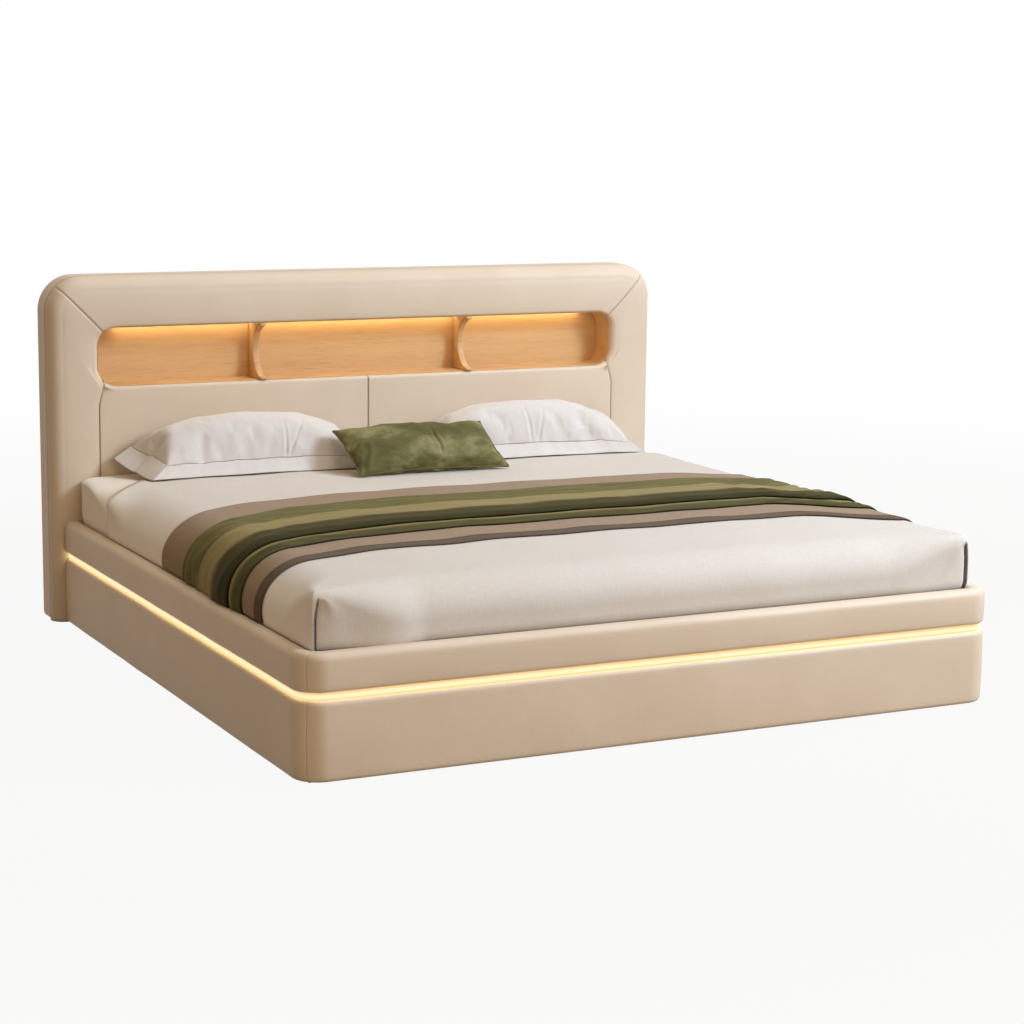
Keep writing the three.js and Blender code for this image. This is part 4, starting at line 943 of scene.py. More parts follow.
duvet = {
    "thickness": 0.0042,
    "headY": 0.882,
    "headDraw": 0.240,
    "drawReach": 0.55,
    "drawAcross": (0.73, 1.05),
    "cornerTurn": 0.014,
    "seamAt": 0.006,
    "seamTrail": 0.008,
    "trailFrom": (0.40, 0.47),
    "seamDepth": 0.0055,
    "seamWidth": 0.0018,
    "darkWidth": 0.00243,
    "darkAt": 0.0009,
    "lip": 0.0006,
    "lipWidth": 0.006,
    "lipAt": 0.007,
    "earTop": 0.012,
    "foldFrom": (0.014, 0.034),
    "hollow": 0.010,
    "hollowReach": 0.085,
    "hollowWidening": 1.3,
    "hollowShare": 0.35,
    "ridge": 0.0026,
    "ridgeFrom": (0.38, 0.45),
    "reliefSide": 0.8,
    "reliefFade": 0.7,
    "creaseDark": 1.3,
    "hemShade": (0.336, 0.322),
    "shoulderRings": 17,
    "wallRings": 22,
}


def headDrawn(c, y):
    # how far the duvet is drawn toward the foot near its head edge, c across from the middle line
    near = 1 - smoothStep(0.0, duvet["drawReach"], duvet["headY"] - y)
    return duvet["headDraw"] * smoothStep(*duvet["drawAcross"], np.abs(c)) * near


def duvetTop():
    # shares u across and w along from the head edge, dense near the edges where the skirt begins
    outer = joinedShares((0, 24), (0.72, 22), (0.965, 10), (0.985, 26))
    along = joinedShares((0, 46), (0.72, 30), (0.972, 10), (0.992, 26))
    u, w = np.meshgrid(np.concatenate([-outer[:0:-1], outer]), along)
    y = between(duvet["headY"], bed["foot"] + footShoulder(np.abs(u))[0], w)
    x = u * (bed["half"] - shoulderAt(y, u)[0])
    y = y - headDrawn(x, y)
    return pointsAt(x, y, bed["top"] + bedRelief(x, y))


def cornerFold(around, z):
    # the side flap ends in a lip just round the corner; behind a narrow seam the foot face lies in a
    # hollow that is deepest at the seam and widens downward from the ear
    low = smoothStep(*duvet["foldFrom"], bed["top"] - z)
    fromSeam = around - duvet["seamAt"] - duvet["seamTrail"] * smoothStep(*duvet["trailFrom"], z)
    lip = duvet["lip"] * bell(fromSeam + duvet["lipAt"], duvet["lipWidth"])
    below = np.maximum(bed["top"] - duvet["earTop"] - z, 0)
    widening = duvet["earTop"] + duvet["hollowWidening"] * below
    reach = duvet["hollowReach"] * (1 - np.exp(-widening / duvet["hollowReach"]))
    deep = np.minimum(duvet["hollow"], duvet["hollowShare"] * reach)
    hollow = deep * (1 - np.clip(fromSeam / reach, 0, 1)) ** 2 * (fromSeam > 0)
    ridge = duvet["ridge"] * bell(fromSeam - reach, duvet["hollowShare"] * reach)
    ridge = ridge * smoothStep(*duvet["ridgeFrom"], z)
    fold = lip - duvet["seamDepth"] * bell(fromSeam, duvet["seamWidth"]) - hollow + ridge
    # the second value is painted shade along the corner seam
    return fold * low, bell(fromSeam + duvet["darkAt"], duvet["darkWidth"]) * low


def duvetSkirt(line, length, first, second):
    # rings of points from the top's rim over the shoulder and down to the hem, with each point's painted
    # shade and how steep it is, and each column's outward way and its share of the foot face
    ends = [smoothStep(corner - duvet["cornerTurn"], corner + duvet["cornerTurn"], length)
            for corner in (first, second)]
    angle = pi + pi / 2 * (ends[0] + ends[1])
    normal, onFoot = pointsAt(np.cos(angle), np.sin(angle)), ends[0] * (1 - ends[1])
    side = shoulderAt(line[:, 1], line[:, 0])
    foot = footShoulder(np.clip(np.abs(line[:, 0]) / (bed["half"] - bedForm["earAcross"]), 0, 1))
    across, fall = between(side[0], foot[0], onFoot), between(side[1], foot[1], onFoot)
    nearFirst = length < (first + second) / 2
    around = np.where(nearFirst, length - first, second - length)
    around = around + bedForm["earAcross"] * pi / 2 * (np.where(nearFirst, ends[0], 1 - ends[1]) - 0.5)
    over, wall = duvet["shoulderRings"], duvet["wallRings"]
    turn = np.concatenate([np.linspace(0, pi / 2, over + 1)[1:], np.full(wall, pi / 2)])[:, None]
    down = np.concatenate([np.zeros(over), np.linspace(0, 1, wall + 1)[1:]])[:, None]
    z = bed["top"] - fall * (1 - np.cos(turn)) - (bed["top"] - fall - bed["hem"]) * down
    steep = np.sin(turn) * np.ones_like(z)
    fold, crease = cornerFold(around, z)
    out = across * np.sin(turn) - rolledUnder(z) + fold * steep
    flat = line[:, :2] + normal * out[..., None]
    relief = bedRelief(flat[..., 0], flat[..., 1])
    flat += normal * (duvet["reliefSide"] * relief * steep * (1 - duvet["reliefFade"] * down))[..., None]
    # the head edge is drawn toward the foot as it goes over the shoulder
    gridY = line[:, 1] + headDrawn(line[:, 0], duvet["headY"]) * ((length < first) | (length > second))
    over = headDrawn(np.abs(line[:, 0]) + np.minimum(out, across), gridY) - headDrawn(line[:, 0], gridY)
    skirt = pointsAt(flat[..., 0], flat[..., 1] - over * (1 - onFoot), z + relief * (1 - steep))
    # painted shade: in the corner seams and toward the hem, where the duvet tucks under
    shade = np.clip(crease * duvet["creaseDark"] + smoothStep(*duvet["hemShade"], z), 0, 1)
    return skirt, shade, steep, normal, onFoot


def buildDuvet():
    # a flat top grid, and a skirt whose columns run from its rim over the shoulder and down
    top = duvetTop()
    rows, columns = top.shape[:2]
    count = rows * columns
    number = np.arange(count).reshape(rows, columns)
    rim = np.concatenate([number[:, 0], number[-1, 1:], number[::-1, -1][1:]])
    line = top.reshape(-1, 3)[rim]
    length = lengthsAlong(line[:, :2])
    skirt, shade, steep, normal, onFoot = duvetSkirt(
        line, length, length[rows - 1], length[rows + columns - 2])
    points = np.concatenate([top.reshape(-1, 3), skirt.reshape(-1, 3)])
    rings = np.concatenate([rim[None], count + np.arange(skirt[..., 0].size).reshape(skirt.shape[:2])])
    sides = np.stack([rings[:-1, 1:], rings[:-1, :-1], rings[1:, :-1], rings[1:, 1:]], -1).reshape(-1, 4)
    quads = np.concatenate([cells(rows, columns), sides])
    wayDown = np.cumsum(np.linalg.norm(np.diff(np.concatenate([line[None], skirt]), axis=0), axis=-1), axis=0)
    hanging = line[:, :2] + normal * wayDown[..., None]
    cloth = np.concatenate([top[..., :2].reshape(-1, 2), hanging.reshape(-1, 2)])
    a, b, c, d = points[quads[0]]
    if np.cross(c - a, d - b)[2] < 0:
        quads = quads[:, ::-1]
    piece = putMesh("duvet_cloth", points, quads, linen, uv=cloth, closed=False)
    flat = np.zeros(count)
    # painted shade from the skirt; painted light: the steep sides, not the foot face, painted paler
    giveAttribute(piece, "shade", np.concatenate([flat, shade.ravel()]))
    giveAttribute(piece, "pale", np.concatenate([flat, (steep ** 2 * (1 - onFoot)).ravel()]))
    thick = piece.modifiers.new("thickness", "SOLIDIFY")
    thick.thickness = duvet["thickness"]
    thick.offset = -1
    finishPiece(piece, "platform", "duvet_linen", "duvet")


# Runner and throw: closed bands. Each edge line is given by its middle, its slope, how far it is drawn
# toward the foot at the left and the right, and how much further it trails down the side. A profile
# point has a share of each edge line, an offset toward the foot, a height above the duvet, a painted
# shade and how much of the cloth's own relief it takes.

bands = {
    "runnerHead": (0.283, -0.02, 0.195, 0.13, 0.015),
    "throwHead": (0.113, -0.01, 0.218, 0.11, 0.012),
    "throwFold": (-0.323, 0.0, 0.150, 0.16, 0.030),
    "throwFoot": (-0.412, 0.0, 0.135, 0.19, 0.040),
    "runnerCrease": (-0.533, 0.0, 0.115, 0.19, 0.030),
    "runnerFoot": (-0.587, 0.0, 0.105, 0.20, 0.030),
    "drawnFrom": [0.30, 0.50, 0.64, 0.74, 0.82, 0.88, 0.93, 1.2],
    "drawnShare": [0.0, 0.12, 0.27, 0.47, 0.68, 0.88, 0.99, 1.0],
    "drawnBlur": 0.03,
    "rightDrawn": (0.72, 1.0),
    "trailing": (0.92, 1.12),
    "uneven": 0.0022,
    "unevenScale": 0.5,
    "step": 0.018,
    "denseStep": 0.007,
    "denseFrom": 0.78,
    "runnerBase": 0.0012,
    "runnerThick": 0.0055,
    "throwBase": 0.0074,
    "layerThick": 0.0075,
    "throwHeadThick": 0.0062,
    "foldHigh": 0.0185,
    "dent": 0.0022,
    "seamAt": 0.333,
}


def bandEdge(c, key):
    # drawn toward the foot as it nears its shoulder, straight down the side; the key's length is the seed
    middle, slope, leftDraw, rightDraw, trail = bands[key]
    away = np.abs(c)
    left = sum(np.interp(away + shift * bands["drawnBlur"], bands["drawnFrom"], bands["drawnShare"])
               for shift in np.linspace(-1, 1, 7)) / 7
    left = leftDraw * left + trail * smoothStep(*bands["trailing"], away)
    drawn = np.where(c > 0, rightDraw * smoothStep(*bands["rightDrawn"], away), left)
    uneven = bands["uneven"] * waves(c, c * 0, len(key), bands["unevenScale"])
    return middle + slope * c - drawn + uneven


def acrossToHem(node):
    # lengths across the bed from hem to hem, close together over the shoulders
    wall = bed["top"] - bedForm["leftDrop"] - boxOf(node)[0][2]
    shoulder = ellipseLength(bedForm["leftAcross"], bedForm["leftDrop"])
    hem = bed["half"] - bedForm["leftAcross"] + shoulder + wall
    dense = bands["denseFrom"]
    half = np.concatenate([
        np.arange(0, dense, bands["step"]), np.arange(dense, hem, bands["denseStep"]), [hem]])
    return np.concatenate([-half[:0:-1], half]), hem


def stretch(start, end, share, offset, height, shade=0.0, relief=0.0):
    # a run of profile points, share of the way between two of the band's three edge lines
    share = np.atleast_1d(np.asarray(share, float))
    weights = np.zeros((len(share), 3))
    weights[:, start] += 1 - share
    weights[:, end] += share
    rest = (np.broadcast_to(value, share.shape) for value in (offset, height, shade, relief))
    return np.column_stack([weights, *rest])


def headNose(base, radius):
    # the head edge: a half circle from the underside round to the top, with painted shade strongest half way
    # round
    turn = np.linspace(-pi / 2, pi / 2, 9)
    return stretch(0, 0, np.zeros(9), radius - radius * np.cos(turn), base + radius + radius * np.sin(turn),
                   0.5 * np.cos(turn) ** 2)


def footNose(at, top, middle, low, run, under, shade):
    # a folded edge: a long quarter ellipse down to its front, then a short one back underneath, with painted
    # shade that deepens down its front and under it
    turn = np.linspace(0, pi / 2, 14)[1:]
    face = stretch(at, at, np.zeros(13), -run * (1 - np.sin(turn)), middle + (top - middle) * np.cos(turn),
                   between(shade, 0.9, smoothStep(0.72, 1.0, np.sin(turn) ** 4)), np.cos(turn) ** 2)
    turn = np.linspace(0, pi / 2, 7)[1:]
    back = stretch(at, at, np.zeros(6), -under * (1 - np.cos(turn)), middle - (middle - low) * np.sin(turn),
                   smoothStep(0.0, 0.4, np.sin(turn)))
    return np.concatenate([face, back])


def layBand(node, keys, slot, material, profile, streaks, paintedSheen=None):
    # the closed profile carried across the bed between its edge lines
    across, hem = acrossToHem(node)
    offset, height, shade, relief = profile[:, 3:].T
    y = pointsAt(*(bandEdge(across, key) for key in keys)) @ profile[:, :3].T - offset
    c = np.broadcast_to(across[:, None], y.shape)
    points = overBed(c, y, height + relief * streaks(c, y))
    piece = sweptSolid(node + "_cloth", points, material, uv=pointsAt(c, y))
    # painted shade as the profile gives it, and painted sheen where a sheen value is given
    giveAttribute(piece, "shade", np.broadcast_to(shade, y.shape))
    if paintedSheen is not None:
        giveAttribute(piece, "paintedSheen", np.broadcast_to(paintedSheen, y.shape))
    finishPiece(piece, "platform", slot, node)


def buildRunner():
    base, top = bands["runnerBase"], bands["runnerBase"] + bands["runnerThick"]
    share = np.concatenate([np.linspace(0.02, 0.94, 30), np.linspace(0.95, 1.0, 12)])
    # its painted shade: round the head edge, in the crease, on the strip beyond the crease and under the foot
    # edge
    profile = np.concatenate([
        headNose(base, bands["runnerThick"] / 2),
        stretch(0, 1, share, 0.0, top - bands["dent"] * bell(share - 1, 0.006),
                0.6 * bell(share - 1, 0.005), 1.0),
        stretch(1, 2, [0.04, 0.12, 0.22, 0.32], 0.0, top + 0.0008, 0.8, 1.0),
        footNose(2, top + 0.0006, base + 0.0030, base - 0.0004, 0.030, 0.004, 0.75),
        stretch(2, 0, np.linspace(0.03, 0.97, 16), 0.0, base - 0.0004)])
    layBand("runner", ("runnerHead", "runnerCrease", "runnerFoot"), "taupe_cloth", taupe, profile,
            lambda c, y: 0.0005 * waves(c, y, 21, 0.24))


def throwStreaks(c, y):
    # long folds along the throw, deeper where it hangs down the sides
    deep = 0.0006 + 0.0017 * smoothStep(0.50, 0.92, np.abs(c))
    return deep * waves(c * 0.30, y, 31, 0.060) + 0.0003 * waves(c * 0.8, y * 1.5, 32, 0.04)


def buildThrow():
    # its upper layer rises from the head edge, past a seam, to a fold that lies on the lower layer
    base, seam, dent = bands["throwBase"], bands["seamAt"], bands["dent"]
    head, high, layer = base + bands["throwHeadThick"], base + bands["foldHigh"], base + bands["layerThick"]
    body = np.sort(np.concatenate([np.linspace(0.03, 0.77, 44), seam + 0.005 * np.arange(-4, 5)]))
    rise = head + dent * smoothStep(0.0, 0.12, body) + (high - head - dent) * smoothStep(0.45, 0.77, body)
    rise += 0.0010 * bell(body - seam - 0.032, 0.014) - 0.0026 * bell(body - seam, 0.010)
    lower = np.array([0.0, 0.02, 0.05, 0.09, 0.15, 0.22, 0.32, 0.44, 0.56])
    # its painted shade: round the head edge, on the roll before the fold, under both folded edges and on the
    # lower layer's far half
    profile = np.concatenate([
        headNose(base, bands["throwHeadThick"] / 2),
        stretch(0, 1, body, 0.0, rise, 0.82 * smoothStep(0.65, 0.77, body), 1.0),
        footNose(1, high, layer + 0.0042, layer + 0.0004, 0.060, 0.005, 0.82),
        stretch(1, 2, lower, -0.004 * (1 - lower / 0.56), layer - 0.0002 + 0.0012 * np.sin(pi * lower),
                smoothStep(0.12, 0.04, lower) + 0.55 * smoothStep(0.30, 0.50, lower),
                smoothStep(0.02, 0.2, lower)),
        footNose(2, layer + 0.0006, base + 0.0036, base - 0.0002, 0.036, 0.004, 0.55),
        stretch(2, 0, np.linspace(0.03, 0.97, 20), 0.0, base - 0.0002)])
    # painted sheen: lighter on the upper layer's middle and on the lower layer, and painted shade darker
    # toward the fold
    run = profile[:, :3] @ [0, 1, 2] + profile[:, 3] * 5
    paintedSheen = 0.22 + 0.72 * smoothStep(0.34, 0.38, run) * smoothStep(0.90, 0.66, run)
    paintedSheen += 0.75 * bell(run - 1.14, 0.09) - 0.42 * smoothStep(0.70, 0.94, run) * (run < 1.002)
    layBand("throw", ("throwHead", "throwFold", "throwFoot"), "olive_velvet", throwVelvet, profile,
            throwStreaks, np.clip(paintedSheen, 0, 1))


buildMattress()
buildDuvet()
buildRunner()
buildThrow()


# Pillows and cushion: a flat two-sided case is blown up as cloth, then set down between its corners

softCase = {
    "cell": 0.0065,
    "frames": 20,
    "quality": 6,
    "tension": 15.0,
    "bending": 0.3,
    "mass": 0.25,
    "startSwell": 0.012,
    "startWaves": 0.0035,
    "seamHalf": 0.0007,
    "flangeHalf": 0.0013,
    "bedGap": 0.0035,
    "headGap": 0.004,
}
bedTop = bed["top"] + softCase["bedGap"]


def relaxed(grid, passes):
    # each point goes half way to the mean of its neighbours, a rim point to its neighbours on the rim
    for _ in range(passes):
        after = grid.copy()
        neighbours = grid[:-2, 1:-1] + grid[2:, 1:-1] + grid[1:-1, :-2] + grid[1:-1, 2:]
        after[1:-1, 1:-1] += neighbours / 8 - grid[1:-1, 1:-1] / 2
        for rim in (0, -1):
            after[rim, 1:-1] += (grid[rim, :-2] + grid[rim, 2:]) / 4 - grid[rim, 1:-1] / 2
            after[1:-1, rim] += (grid[:-2, rim] + grid[2:, rim]) / 4 - grid[1:-1, rim] / 2
        grid = after
    return grid


def finer(grid):
    # twice as many cells each way; a new point is the mean (-1, 9, 9, -1) / 16 of four in its line
    for axis in (0, 1):
        line = np.moveaxis(grid, axis, 0)
        longer = np.concatenate([2 * line[:1] - line[1:2], line, 2 * line[-1:] - line[-2:-1]])
        joined = np.empty((2 * len(line) - 1, *line.shape[1:]))
        joined[::2] = line
        joined[1::2] = (9 * (longer[1:-2] + longer[2:-1]) - longer[:-3] - longer[3:]) / 16
        grid = np.moveaxis(joined, 0, axis)
    return grid


def blownCase(a, b, soft, seed):
    # the case after Blender's cloth has been blown up by air pressure, without gravity. It starts as
    # a low dome h ((1 - a^2)(1 - b^2))^0.5 each way, with calm waves that both layers share
    rows, columns = a.shape
    dome = np.sqrt(np.maximum((1 - a * a) * (1 - b * b), 0))
    x, y = a * soft["caseWidth"] / 2, b * soft["caseDepth"] / 2
    uneven = softCase["startWaves"] * waves(x, y, seed, 0.11) * np.minimum(dome * 3, 1)
    top, bottom = (pointsAt(x, y, side * softCase["startSwell"] * dome + uneven) for side in (1, -1))
    number = np.arange(rows * columns).reshape(rows, columns)
    under = number.copy()
    under[1:-1, 1:-1] = rows * columns + np.arange((rows - 2) * (columns - 2)).reshape(rows - 2, columns - 2)
    order = cells(rows, columns)
    faces = np.concatenate([order, under.reshape(-1)[order][:, ::-1]])
    points = np.concatenate([top.reshape(-1, 3), bottom[1:-1, 1:-1].reshape(-1, 3)])
    case = putMesh("case", points, faces, pillowCotton)
    cloth = case.modifiers.new("cloth", "CLOTH")
    for key, value in {
            "quality": softCase["quality"], "mass": softCase["mass"], "use_pressure": True,
            "uniform_pressure_force": soft["pressure"], "bending_stiffness": softCase["bending"],
            "tension_stiffness": softCase["tension"], "compression_stiffness": softCase["tension"],
            "shear_stiffness": softCase["tension"] / 2}.items():
        setattr(cloth.settings, key, value)
    cloth.settings.effector_weights.gravity = 0
    cloth.collision_settings.use_collision = False
    cloth.point_cache.frame_start, cloth.point_cache.frame_end = 1, softCase["frames"]
    for frameNumber in range(1, softCase["frames"] + 1):
        bpy.context.scene.frame_set(frameNumber)
    swollen = case.evaluated_get(bpy.context.evaluated_depsgraph_get()).to_mesh()
    place = np.empty(len(swollen.vertices) * 3)
    swollen.vertices.foreach_get("co", place)
    place = place.reshape(-1, 3)
    bpy.context.scene.frame_set(1)
    bpy.data.objects.remove(case)
    return place[number], place[under]


def restingCase(soft, seed):
    # both layers in shares (corners at -1 and 1 each way, the highest points at -1 and 1 in z), the map
    # of the cloth in metres, and the shares a and b of each point of the flat case.
    columns, rows = (int(round(soft[key] / softCase["cell"])) + 1 for key in ("caseWidth", "caseDepth"))
    a, b = np.meshgrid(np.linspace(-1, 1, columns), np.linspace(-1, 1, rows))
    layers = [relaxed(layer, 3) for layer in blownCase(a, b, soft, seed)]
    rim = np.concatenate([layers[0][[0, -1]].reshape(-1, 3), layers[0][:, [0, -1]].reshape(-1, 3)])
    layers = [layer - rim.mean(0) for layer in layers]
    corners = np.abs(layers[0][[0, 0, -1, -1], [0, -1, 0, -1]]).mean(0)
    high = (layers[0][..., 2].max() - layers[1][..., 2].min()) / 2
    print("case blown up, half thickness", round(float(high), 4))
    layers = [layer / [corners[0], corners[1], high] for layer in layers]
    cloth = finer(pointsAt(a * soft["caseWidth"] / 2, b * soft["caseDepth"] / 2))
    return [finer(layer) for layer in layers], cloth, *np.moveaxis(finer(pointsAt(a, b)), -1, 0)


def setDown(layer, corners, normal, lift, straight):
    # the layer's shares a, b carry it between four corners (front left, front right, rear right,
    # rear left) as (1 -+ a)(1 -+ b) / 4 of each; straight is how far its drawn-in sides go back out
    a, b, z = layer[..., 0], layer[..., 1], layer[..., 2]
    left, right = layer[:, :1, 0], layer[:, -1:, 0]
    front, rear = layer[:1, :, 1], layer[-1:, :, 1]
    a = between(a, (2 * a - left - right) / (right - left), straight[0])
    b = between(b, (2 * b - front - rear) / (rear - front), straight[1])
    shares = pointsAt((1 - a) * (1 - b), (1 + a) * (1 - b), (1 + a) * (1 + b), (1 - a) * (1 + b)) / 4
    return shares @ np.array(corners) + np.array(normal) * (z * lift)[..., None]


def flangedCase(name, layers, reach, cloth, limit):
    # the two layers, parted by a stitch groove at the rim, run out into a flat flange of two layers.
    # reach is each rim point's way to the flange's edge; a ring lies at a share of it, h off its middle
    top, bottom = layers
    rows, columns = top.shape[:2]
    count, rim = rows * columns, rimOf(rows, columns)
    line = top.reshape(-1, 3)[rim]
    up = unit(np.cross(reach, np.roll(line, -1, axis=0) - np.roll(line, 1, axis=0)))
    half, seam = softCase["flangeHalf"], softCase["seamHalf"]
    rise = [(0.02, 0.6), (0.05, 1.25), (0.09, 1.1)]
    rise += [(share, 1.0) for share in (0.2, 0.35, 0.5, 0.65, 0.8, 0.93)] + [(0.98, 0.8)]
    rings = np.array(rise + [(1.0, 0.0)] + [(share, -h) for share, h in rise[::-1]])
    share, h = rings[:, :1], rings[:, 1:]
    soft = 0.0022 * waves(lengthsAlong(line), share * 0.02, 41, 0.13) * share ** 1.5
    flange = limit(line + reach * share[..., None] + up * (h * half + soft)[..., None], h * half)
    grids = np.concatenate([limit(top, half).reshape(-1, 3), limit(bottom, -half).reshape(-1, 3)])
    grids[rim] = limit(line + up * seam, seam)
    grids[rim + count] = limit(line - up * seam, -seam)
    points = np.concatenate([grids, flange.reshape(-1, 3)])
    loops = [rim, *(2 * count + np.arange(len(rings) * len(rim)).reshape(len(rings), -1)), rim + count]
    strips = [np.stack([np.roll(inner, -1), inner, outer, np.roll(outer, -1)], -1)
              for inner, outer in zip(loops[:-1], loops[1:])]
    quads = np.concatenate([cells(rows, columns), cells(rows, columns, first=count)[:, ::-1], *strips])
    flat = cloth.reshape(-1, 2)
    away = flat[rim] - flat.mean(0)
    away = away / np.abs(away).max(1)[:, None] * 0.05
    uv = np.concatenate([flat, flat, (flat[rim] + away * share[..., None]).reshape(-1, 2)])
    return putMesh(name, points, quads, pillowCotton, uv=uv)


# A pleat has its middle, its slope, the shares where it starts and ends, its width and its height

pillow = {
    "caseWidth": 0.72,
    "caseDepth": 0.27,
    "pressure": 4.0,
    "upper": 0.128,
    "lower": 0.068,
    "straight": (0.55, 0.35),
    "endOut": 0.056,
    "frontOut": 0.022,
    "tipDrop": 0.036,
    "rearRise": 0.030,
    "left": [(-0.780, 0.762, 0.526), (-0.135, 0.752, 0.524), (-0.118, 0.925, 0.566), (-0.850, 0.925, 0.572)],
    "right": [(0.205, 0.770, 0.526), (0.890, 0.738, 0.524), (0.905, 0.925, 0.548), (0.190, 0.925, 0.572)],
    "leftPleats": [(0.27, 0.00, -0.99, -0.20, 0.014, 0.0035), (0.30, 0.22, -0.99, 0.10, 0.016, 0.0028)],
    "rightPleats": [(-0.05, -0.05, -0.99, 0.05, 0.016, 0.0026), (0.02, 0.12, -0.99, -0.10, 0.015, 0.0022)],
}


def pleat(a, b, middle, slope, low, high, width, height):
    # a crease that runs up the case from share low to high: a groove between two soft ridges
    off = (a - middle - slope * (b - low)) / width
    fade = smoothStep(low - 0.02, low + 0.12, b) * smoothStep(high, low, b)
    return (bell(off - 1.7, 1.1) + 0.8 * bell(off + 1.8, 1.2) - 1.3 * bell(off, 1.0)) * fade * height


def insideBed(points, off):
    # nothing goes below the bed or behind the headboard's front, and the layers keep their order
    wall = boxOf("pad_lower_left")[0][1] - softCase["headGap"]
    y, z = np.minimum(points[..., 1], wall - off), np.maximum(points[..., 2], bedTop + off)
    return pointsAt(points[..., 0], y, z)


def buildPillow(side, seed):
    layers, cloth, a, b = restingCase(pillow, seed)
    top, bottom = (setDown(layer, pillow[side], (0, 0, 1), pillow[lift], pillow["straight"])
                   for layer, lift in zip(layers, ("upper", "lower")))
    out = unit(np.cross(np.gradient(top, axis=1), np.gradient(top, axis=0)))
    top = top + out * sum(pleat(a, b, *each) for each in pillow[side + "Pleats"])[..., None]
    rim = rimOf(*a.shape)
    high, rimA, toRear = top.reshape(-1, 3)[rim, 2], a.reshape(-1)[rim], (1 + b.reshape(-1)[rim]) / 2
    rear = between(pillow["rearRise"], -pillow["tipDrop"], np.abs(rimA) ** 6)
    reach = pointsAt(rimA * pillow["endOut"], -pillow["frontOut"] * (1 - toRear),
                     between(bedTop + 0.001 - high, rear, toRear))
    piece = flangedCase("pillow_case_" + side, (top, bottom), reach, cloth, insideBed)
    finishPiece(piece, "platform", "pillow_cotton", "pillow_" + side)
    print(piece.name, "built")


cushion = {
    "caseWidth": 0.53,
    "caseDepth": 0.30,
    "pressure": 4.0,
    "upper": 0.064,
    "lower": 0.040,
    "straight": (0.62, 0.62),
    "piping": 0.0032,
    "corners": [(-0.196, 0.566, 0.492), (0.333, 0.560, 0.492), (0.313, 0.740, 0.619), (-0.221, 0.740, 0.616)],
}


def pinchFold(a, b):
    # the fold below the middle is two lips round a narrow hollow; a tuck comes down from the top, and
    # the left end is gathered
    off, along = (a - 0.10) / 0.022, (b + 0.22) / 0.30
    fold = (bell(np.abs(off) - 1.5, 0.9) - 1.5 * bell(off, 0.9)) * np.exp(-along ** 4)
    off = (a - 0.09 - 0.22 * (0.95 - b)) / 0.03
    tuck = (bell(off - 1.2, 1.0) - bell(off + 0.4, 1.0)) * smoothStep(0.42, 0.95, b)
    off = (a + 0.80 - 0.10 * np.cos(3 * b)) / 0.05
    gathers = np.sin(off * 2.2) * bell(off, 1.6) * smoothStep(0.45, -0.35, b)
    return 0.0042 * fold + 0.0030 * tuck + 0.0032 * gathers


def buildCushion():
    layers, cloth, a, b = restingCase(cushion, 9)
    corners = np.array(cushion["corners"])
    normal = unit(np.cross(corners[1] - corners[0], corners[3] - corners[0]))
    top, bottom = (setDown(layer, corners, normal, cushion[lift], cushion["straight"])
                   for layer, lift in zip(layers, ("upper", "lower")))
    top = top + normal * pinchFold(a, b)[..., None]
    top[..., 2] = np.maximum(top[..., 2], bedTop + 0.0008)
    bottom[..., 2] = np.maximum(bottom[..., 2], bedTop)
    piece = shellSolid("cushion_cover", top, bottom, cushionVelvet, cloth)
    line = top.reshape(-1, 3)[rimOf(*a.shape)]
    out = unit(np.cross(line - np.roll(line, -1, axis=0), normal))
    turn = np.linspace(0, 2 * pi, 11)[:-1, None]
    loops = line[:, None] + cushion["piping"] * (np.cos(turn) * out[:, None] + np.sin(turn) * normal)
    loops[..., 2] = np.maximum(loops[..., 2], bedTop - 0.001)
    piping = sweptSolid("cushion_piping", loops, cushionVelvet, closedPath=True)
    for part in (piece, piping):
        finishPiece(part, "platform", "olive_velvet", "lumbar_cushion")
    print("cushion built")


buildPillow("left", 5)
buildPillow("right", 6)
buildCushion()


# Camera, light and floor

viewFromFront = {
    "place": (-3.1735, -6.4875, 1.6953),
    "turn": radians(-26.5505),
    "down": radians(9.7828),
    "roll": radians(0.6932),
    "lens": 84.316,
}


def addCamera():
    turn, down, roll = viewFromFront["turn"], viewFromFront["down"], viewFromFront["roll"]
    ahead = Vector((-sin(turn) * cos(down), cos(turn) * cos(down), -sin(down)))
    right = Vector((cos(turn), sin(turn), 0))
    up = right.cross(ahead)
    across, above = right * cos(roll) + up * sin(roll), up * cos(roll) - right * sin(roll)
    camera = bpy.data.objects.new("camera", bpy.data.cameras.new("camera"))
    camera.data.sensor_width = 36
    camera.data.lens = viewFromFront["lens"]
    camera.matrix_world = Matrix.Translation(viewFromFront["place"]) @ Matrix(
        (across, above, -ahead)).transposed().to_4x4()
    bpy.context.scene.collection.objects.link(camera)
    bpy.context.scene.camera = camera


def addLamp(name, place, aim, size, power, colour):
    lamp = bpy.data.objects.new(name, bpy.data.lights.new(name, "AREA"))
    lamp.data.shape = "DISK"
    lamp.data.size = size
    lamp.data.energy = power
    lamp.data.color = colour
    facing = (Vector(aim) - Vector(place)).to_track_quat("-Z", "Y").to_matrix().to_4x4()
    lamp.matrix_world = Matrix.Translation(place) @ facing
    bpy.context.scene.collection.objects.link(lamp)


def seenDirectly(tree):
    # 1 for the camera and in reflections, 0 for light that falls on the bed
    path = put(tree, "ShaderNodeLightPath", {})
    reflected = math(tree, "MAXIMUM", path["Is Glossy Ray"], path["Is Transmission Ray"])
    return math(tree, "MAXIMUM", path["Is Camera Ray"], reflected)


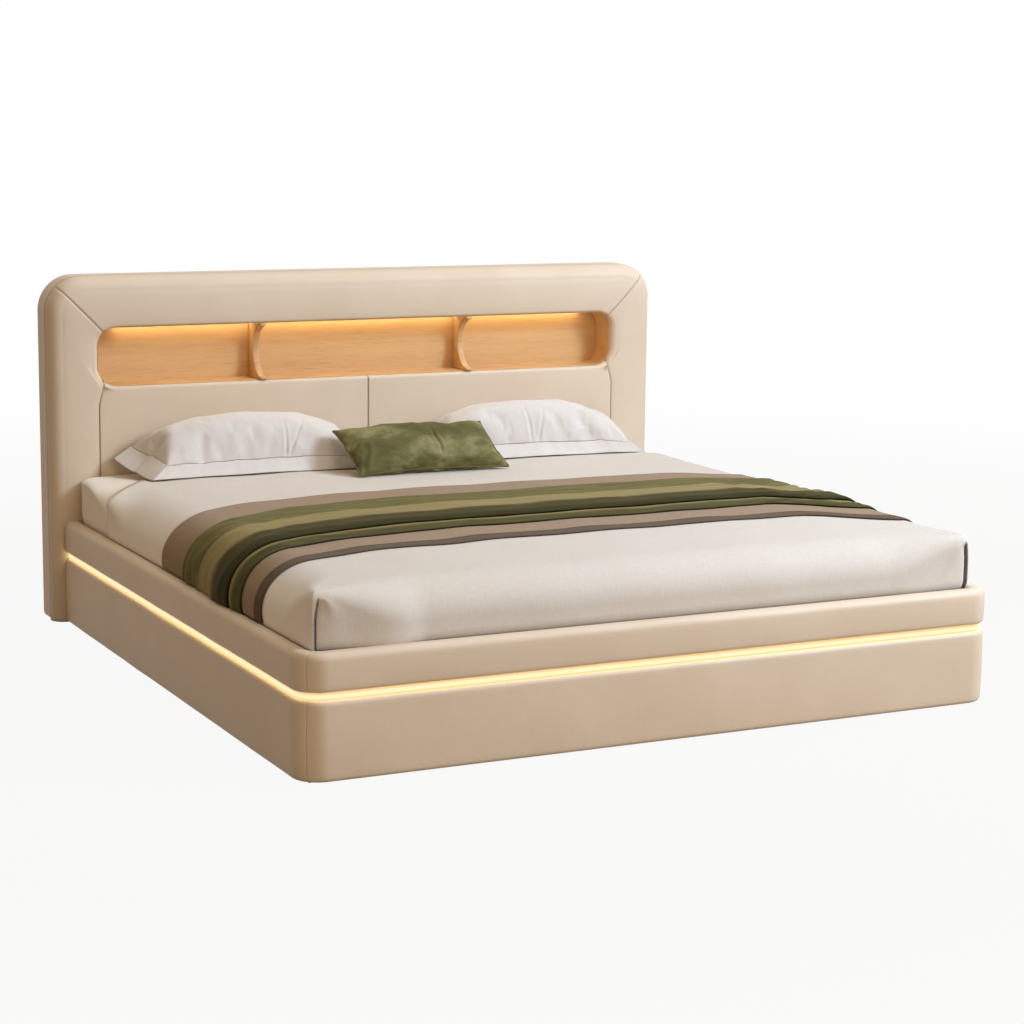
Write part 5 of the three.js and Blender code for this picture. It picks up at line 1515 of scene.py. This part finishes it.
def turnWhite(tree, shader, kind, share, end):
    # the backdrop's white in place of the shader, by the given share
    white = put(tree, kind, {0: (1, 1, 1, 1), 1: 1.0})
    mix = put(tree, "ShaderNodeMixShader", {0: share, 1: shader.outputs[0], 2: white[0]})
    feed(tree, tree.nodes[end], {0: mix[0]})


def addWorld():
    # soft warm light all round, seen as a white backdrop
    world = bpy.data.worlds.new("studio")
    bpy.context.scene.world = world
    world.use_nodes = True
    tree = world.node_tree
    background = feed(tree, tree.nodes["Background"], {0: (1.0, 0.76, 0.49, 1), 1: 0.40})
    turnWhite(tree, background, "ShaderNodeBackground", seenDirectly(tree), "World Output")


def addFloor():
    # it takes a faint shadow near the bed and is the backdrop's white further away
    reach, corners = 30.0, ((-1, -1, 0), (1, -1, 0), (1, 1, 0), (-1, 1, 0))
    mesh = bpy.data.meshes.new("floor")
    mesh.from_pydata([[reach * value for value in corner] for corner in corners], [], [(0, 1, 2, 3)])
    floor = bpy.data.objects.new("floor", mesh)
    material, tree, shader = newMaterial("studio_floor", (150, 132, 110), 0.9, specular=0.0)
    far = put(tree, "ShaderNodeVectorMath", {0: ownPlace(tree)}, operation="LENGTH")["Value"]
    share = math(tree, "MULTIPLY", seenDirectly(tree), remap(tree, far, 2.5, 7.0, 0.93, 1.0))
    turnWhite(tree, shader, "ShaderNodeEmission", share, "Material Output")
    mesh.materials.append(material)
    bpy.context.scene.collection.objects.link(floor)


addCamera()
addWorld()
addFloor()
addLamp("key", (3.3, -2.9, 3.45), (0.15, 0.4, 0.6), 2.0, 300, (0.64, 0.79, 1.0))
addLamp("front", (0.5, -7.5, 3.0), (0, 0, 0.5), 3.0, 103, (1.0, 0.88, 0.77))
addLamp("over", (0.8, 0.3, 5.5), (0, 0, 0.4), 4.0, 80, (0.93, 0.96, 1.0))
bpy.context.scene.view_settings.view_transform = "Standard"

# Materials for the nodes that stay as the CAD made them

boards = ["foot_board", "head_board", "centre_partition", "foot_ledge"]
steel = ["platform_frame", "mattress_stop"]
for side in ("_left", "_right"):
    boards += [part + side for part in ("side_board", "storage_floor", "side_ledge", "deck_panel")]
    steel += [part + side for part in ("foot_bracket", "head_bracket", "lift_base_plate", "lift_arm",
                                       "guide_arm", "lift_top_bracket", "strut_cylinder")]
for material, nodes in (
        (plywood, boards), (blackSteel, steel), (chrome, ["strut_rod_left", "strut_rod_right"]),
        (oak, ["niche_back"]), (backingCloth, ["headboard_back"]), (aluminium, ["niche_led_channel"]),
        (blackPlastic, ["power_inlet", "led_driver"])):
    for node in nodes:
        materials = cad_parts[node].data.materials
        materials.clear()
        materials.append(material)
print("materials given to the carried nodes")
